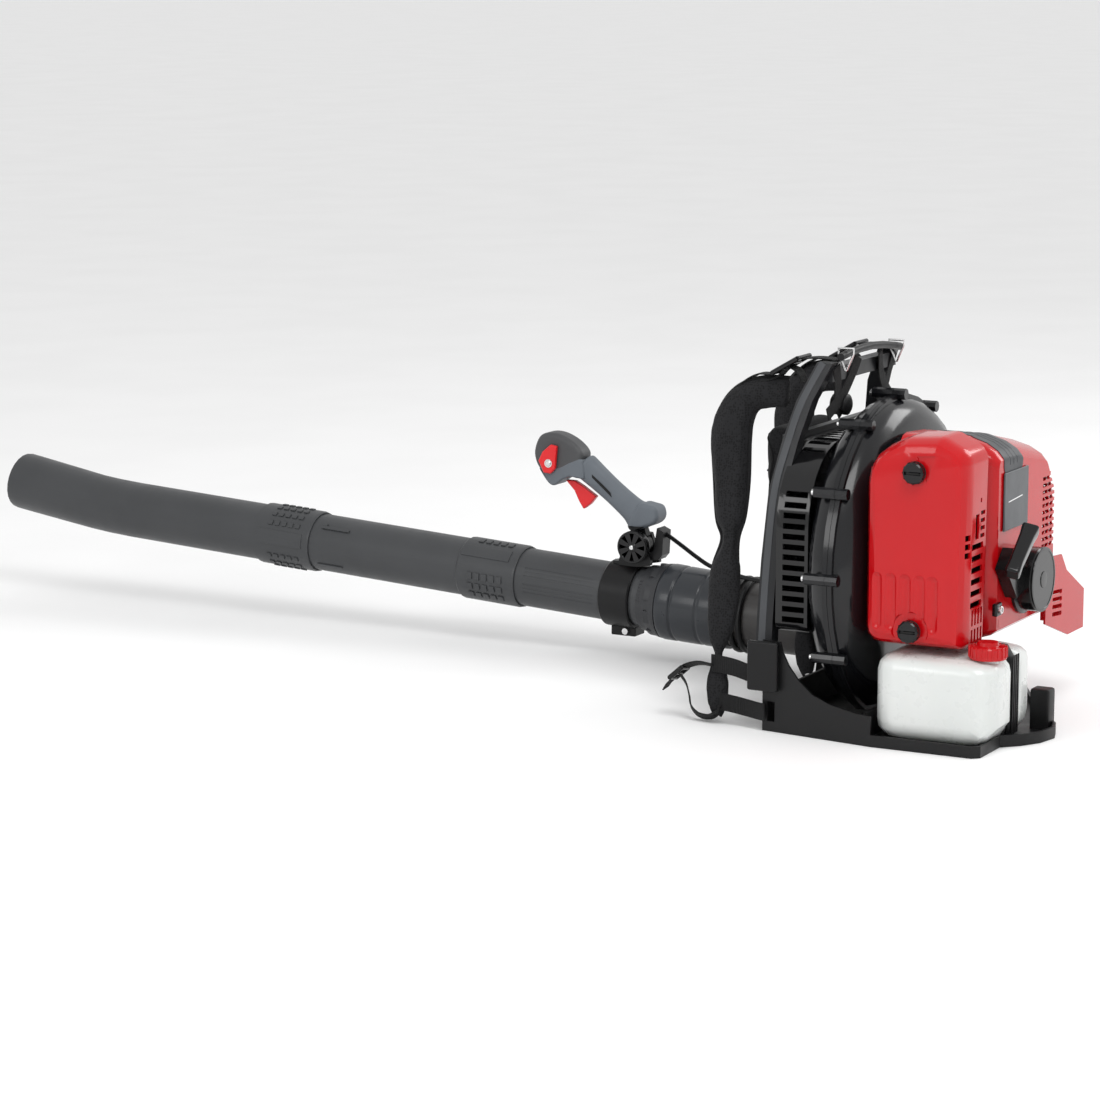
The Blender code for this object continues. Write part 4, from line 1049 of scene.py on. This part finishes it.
# x, y, z, half width, the width's direction (x, y, z), half thickness
STRAP = [
    (100, -196, 462, 22, 0, 0, 1, 9), (104, -228, 460, 24, 0, 0, 1, 10), (108, -256, 448, 27, 0, -0.5, 0.87, 10),
    (111, -272, 425, 31, 0, -0.87, 0.5, 11), (113, -279, 390, 34, 0, -1, 0.1, 11), (120, -275, 330, 32, 0, -1, 0, 11),
    (133, -270, 280, 27, 0, -1, 0, 10), (141, -267, 250, 18, 0, -1, 0, 6), (150, -270, 208, 25, 0, -1, 0, 10),
    (160, -268, 165, 26, 0, -1, 0, 10), (170, -268, 120, 20, 0, -1, 0, 9), (178, -266, 92, 8, 0, -1, 0, 5),
    (188, -262, 75, 13, 0, -1, 0, 8), (196, -258, 50, 18, 0, -1, 0, 9), (200, -256, 25, 16, 0, -1, 0, 8),
    (202, -255, 9, 9, 0, -1, 0, 5),
]  # fmt: skip


def puff(obj, voxel, pressure, cap):
    """Remeshes the closed shape and inflates it as cloth; no point moves further than cap (mm)."""
    made = obj.modifiers.new("voxels", "REMESH")
    made.mode = "VOXEL"
    made.voxel_size = voxel * MM
    made.use_smooth_shade = True
    bake(obj)
    soft = obj.modifiers.new("soft", "SMOOTH")
    soft.iterations = 6
    soft.factor = 0.5
    bake(obj)
    before = [v.co.copy() for v in obj.data.vertices]
    cloth = obj.modifiers.new("cloth", "CLOTH")
    cloth.settings.quality = 5
    cloth.settings.use_pressure = True
    cloth.settings.uniform_pressure_force = pressure
    cloth.settings.effector_weights.gravity = 0
    cloth.collision_settings.use_collision = False
    cloth.point_cache.frame_start = 1
    cloth.point_cache.frame_end = CLOTH_FRAMES
    for number in range(1, CLOTH_FRAMES + 1):
        bpy.context.scene.frame_set(number)
    bake(obj)
    bpy.context.scene.frame_set(1)
    for old, vert in zip(before, obj.data.vertices):
        moved = vert.co - old
        if moved.length > cap * MM:
            vert.co = old + moved.normalized() * cap * MM
    return obj


def sub(obj):
    made = obj.modifiers.new("sub", "SUBSURF")
    made.levels = 1
    made.render_levels = 1
    return bake(obj)


def edge_piping(rows, sign):
    """A line along one edge of a band, a little way in."""
    points = [Vector(row[:3]) for row in rows]
    made = []
    for row, point, way in zip(rows, points, headings(points)):
        wide = Vector(row[4:7])
        wide = (wide - way * wide.dot(way)).normalized()
        made.append(tuple(point + wide * (max(row[3] - PIPING_INSET, PIPING_LEAST) * sign)))
    return made


def make_strap(side, group, name):
    rows = []
    for x, *rest in STRAP:
        rows.append((x if side > 0 else -min(x, 100 + (462 - rest[1]) * 0.004), *rest))
    fine = smooth_path(rows, 6)
    bm = bmesh.new()
    band(bm, [r[:3] for r in fine], [max(r[3] - SWELL, 5) for r in fine], [r[4:7] for r in fine],
         [max(r[7] - SWELL, 3) for r in fine], 28)  # fmt: skip
    obj = to_object(name, bm, group)
    puff(obj, 4.5, 3, 5)
    sub(obj)
    node = "shoulder_strap_left" if side > 0 else "shoulder_strap_right"
    dress(obj, "mesh_cloth", "machine", 0, 180, (node,))
    bm = bmesh.new()
    for sign in (-1, 1):
        tube(bm, edge_piping(fine, sign), 2.4, 8)
    piece(f"{name}_piping", bm, "piping", "machine", group, 0, 60)


def seam_on(target, group, points, radius=1.6):
    """A line of piping laid on the -Y side of the target, through the points (x, z)."""
    move = shift(group)
    path = []
    for x, z in points:
        start = Vector((x, -320, z)) * MM + move
        hit, at, _, _ = target.ray_cast(start, Vector((0, 1, 0)))
        if hit:
            path.append((at - move) / MM)
    return tube(bmesh.new(), path, radius, 8)


def make_harness():
    make_strap(1, "strap", "shoulder_pad_near")
    make_strap(-1, "strap_far", "shoulder_pad_far")
    bm = bmesh.new()
    outline = [(-88, 156), (88, 156), (90, 290), (84, 412), (-84, 412), (-90, 290)]
    slab(bm, outline, 1, -239, -206)
    obj = to_object("back_cushion", bm, "pad")
    add_bevel(obj, 11, 4, 30)
    bake(obj)
    puff(obj, 5, 4, 7)
    sub(obj)
    dress(obj, "mesh_cloth", "machine", 0, 180, ("back_pad",))
    edge = smooth_path([(-70, 176), (70, 176), (73, 290), (68, 392), (-68, 392), (-73, 290), (-70, 176)], 12)
    piece("back_cushion_edge", seam_on(obj, "pad", edge, 2.0), "piping", "machine", "pad", 0, 60)
    for k, z in enumerate((232, 286, 340)):
        line = [(-66 + 6 * i, z) for i in range(23)]
        piece(f"back_cushion_seam_{k + 1}", seam_on(obj, "pad", line), "piping", "machine", "pad", 0, 60)
    bm = bmesh.new()
    webbing(bm, [(211, -248, 33), (212, -225, 31), (215, -205, 29), (222, -184, 28), (227, -172, 28)])
    piece("near_lower_web", bm, "webbing", "machine", "web", 0, 50, ("lower_webbing_left",))
    bm = bmesh.new()
    webbing(bm, [(-116, -246, 24), (-117, -225, 22), (-120, -205, 21), (-122, -192, 21)])
    piece("far_lower_web", bm, "webbing", "machine", "web", 0, 50, ("lower_webbing_right",))
    refine_webs()


def buckle_frame(bm, centre, wide, along, half_w, half_l, bars):
    """A ladder lock: a rounded frame with bars across it."""
    centre, wide, along = Vector(centre), Vector(wide).normalized(), Vector(along).normalized()
    for sign in (-1, 1):
        a = centre + wide * (half_w * sign) - along * half_l
        b = centre + wide * (half_w * sign) + along * half_l
        tube(bm, smooth_path([a, (a + b) / 2, b], 4), 3.6, 12)
    for k in range(bars):
        at = centre + along * (-half_l + 2 * half_l * k / (bars - 1))
        ends = (at - wide * (half_w + 1), at, at + wide * (half_w + 1))
        tube(bm, smooth_path(ends, 4), 3.4, 12)
    return bm


def refine_webs():
    """Webbing from the shoulder pads through the buckles to the hooks, and the straps at the pads' lower ends."""
    for side, group in ((1, "buckle"), (-1, "buckle_far")):
        x = 100 * side
        hook = 90 * side
        name = "near" if side > 0 else "far"
        bm = bmesh.new()
        webbing(bm, [(x, -276, 456), (x, -262, 471), (x, -242, 482), (x, -222, 483), (x, -208, 489), (x, -196, 497),
                     (x, -184, 505), (x * 0.98, -160, 509), (hook, -138, 508), (hook, -128, 506)],
                12.5, (1, 0, 0))  # fmt: skip
        webbing(bm, [(x, -246, 470), (x, -228, 474), (x, -212, 480), (x, -204, 488), (x, -196, 494), (x, -186, 492),
                     (x, -178, 484), (x, -174, 474)], 12.5, (1, 0, 0))  # fmt: skip
        piece(f"{name}_top_web", bm, "webbing", "machine", group, 0, 50)
        bm = buckle_frame(bmesh.new(), (x, -195, 498), (1, 0, 0), (0, 0.86, 0.5), 20, 22, 4)
        node = f"top_buckle_{'left' if side > 0 else 'right'}"
        piece(f"{name}_ladder_lock", bm, "gloss_black", "machine", group, 0, 50, (node,))
        bm = bmesh.new()
        webbing(bm, [(40 * side, -119, 506), (52 * side, -124, 480), (78 * side, -128, 452), (112 * side, -133, 432)],
                10, (0.6 * side, 0, 0.8))  # fmt: skip
        webbing(bm, [(104 * side, -124, 498), (92 * side, -127, 474), (84 * side, -130, 450), (62 * side, -133, 428)],
                10, (0.9, 0, 0.3 * side))  # fmt: skip
        piece(f"{name}_back_web", bm, "webbing", "machine", group, 0, 50)
    bm = bmesh.new()
    webbing(bm, [(200, -266, 84), (203, -250, 84), (208, -225, 82), (213, -206, 79), (217, -192, 78)])
    webbing(bm, [(199, -264, 80), (200, -284, 82), (200, -304, 76), (200, -318, 66)], 11, (0.9, 0.1, 0.4))
    webbing(bm, [(200, -314, 62), (199, -306, 50), (199, -301, 34), (200, -297, 18), (202, -284, 8), (204, -266, 8),
                 (206, -252, 18), (209, -246, 30)], 11, (0.8, 0.3, 0.5))  # fmt: skip
    webbing(bm, [(200, -320, 60), (199, -327, 54), (198, -334, 47), (197, -339, 40)], 10, (0.9, 0.2, 0.2))
    piece("near_adjuster_web", bm, "webbing", "machine", "web", 0, 50)
    bm = buckle_frame(bmesh.new(), (200, -317, 65), (1, 0.1, 0.2), (0, 0.75, 0.66), 13, 12, 3)
    piece("near_adjuster", bm, "gloss_black", "machine", "web", 0, 50)


# ---------------------------------------------------------------- the whole


def main():
    make_camera()
    make_stage()
    paint_nodes()
    make_cable()
    make_cover()
    make_shroud()
    make_fan_housing()
    make_base()
    make_tank()
    make_starter()
    make_engine()
    make_tube()
    make_bellows()
    make_handle()
    make_harness()


main()
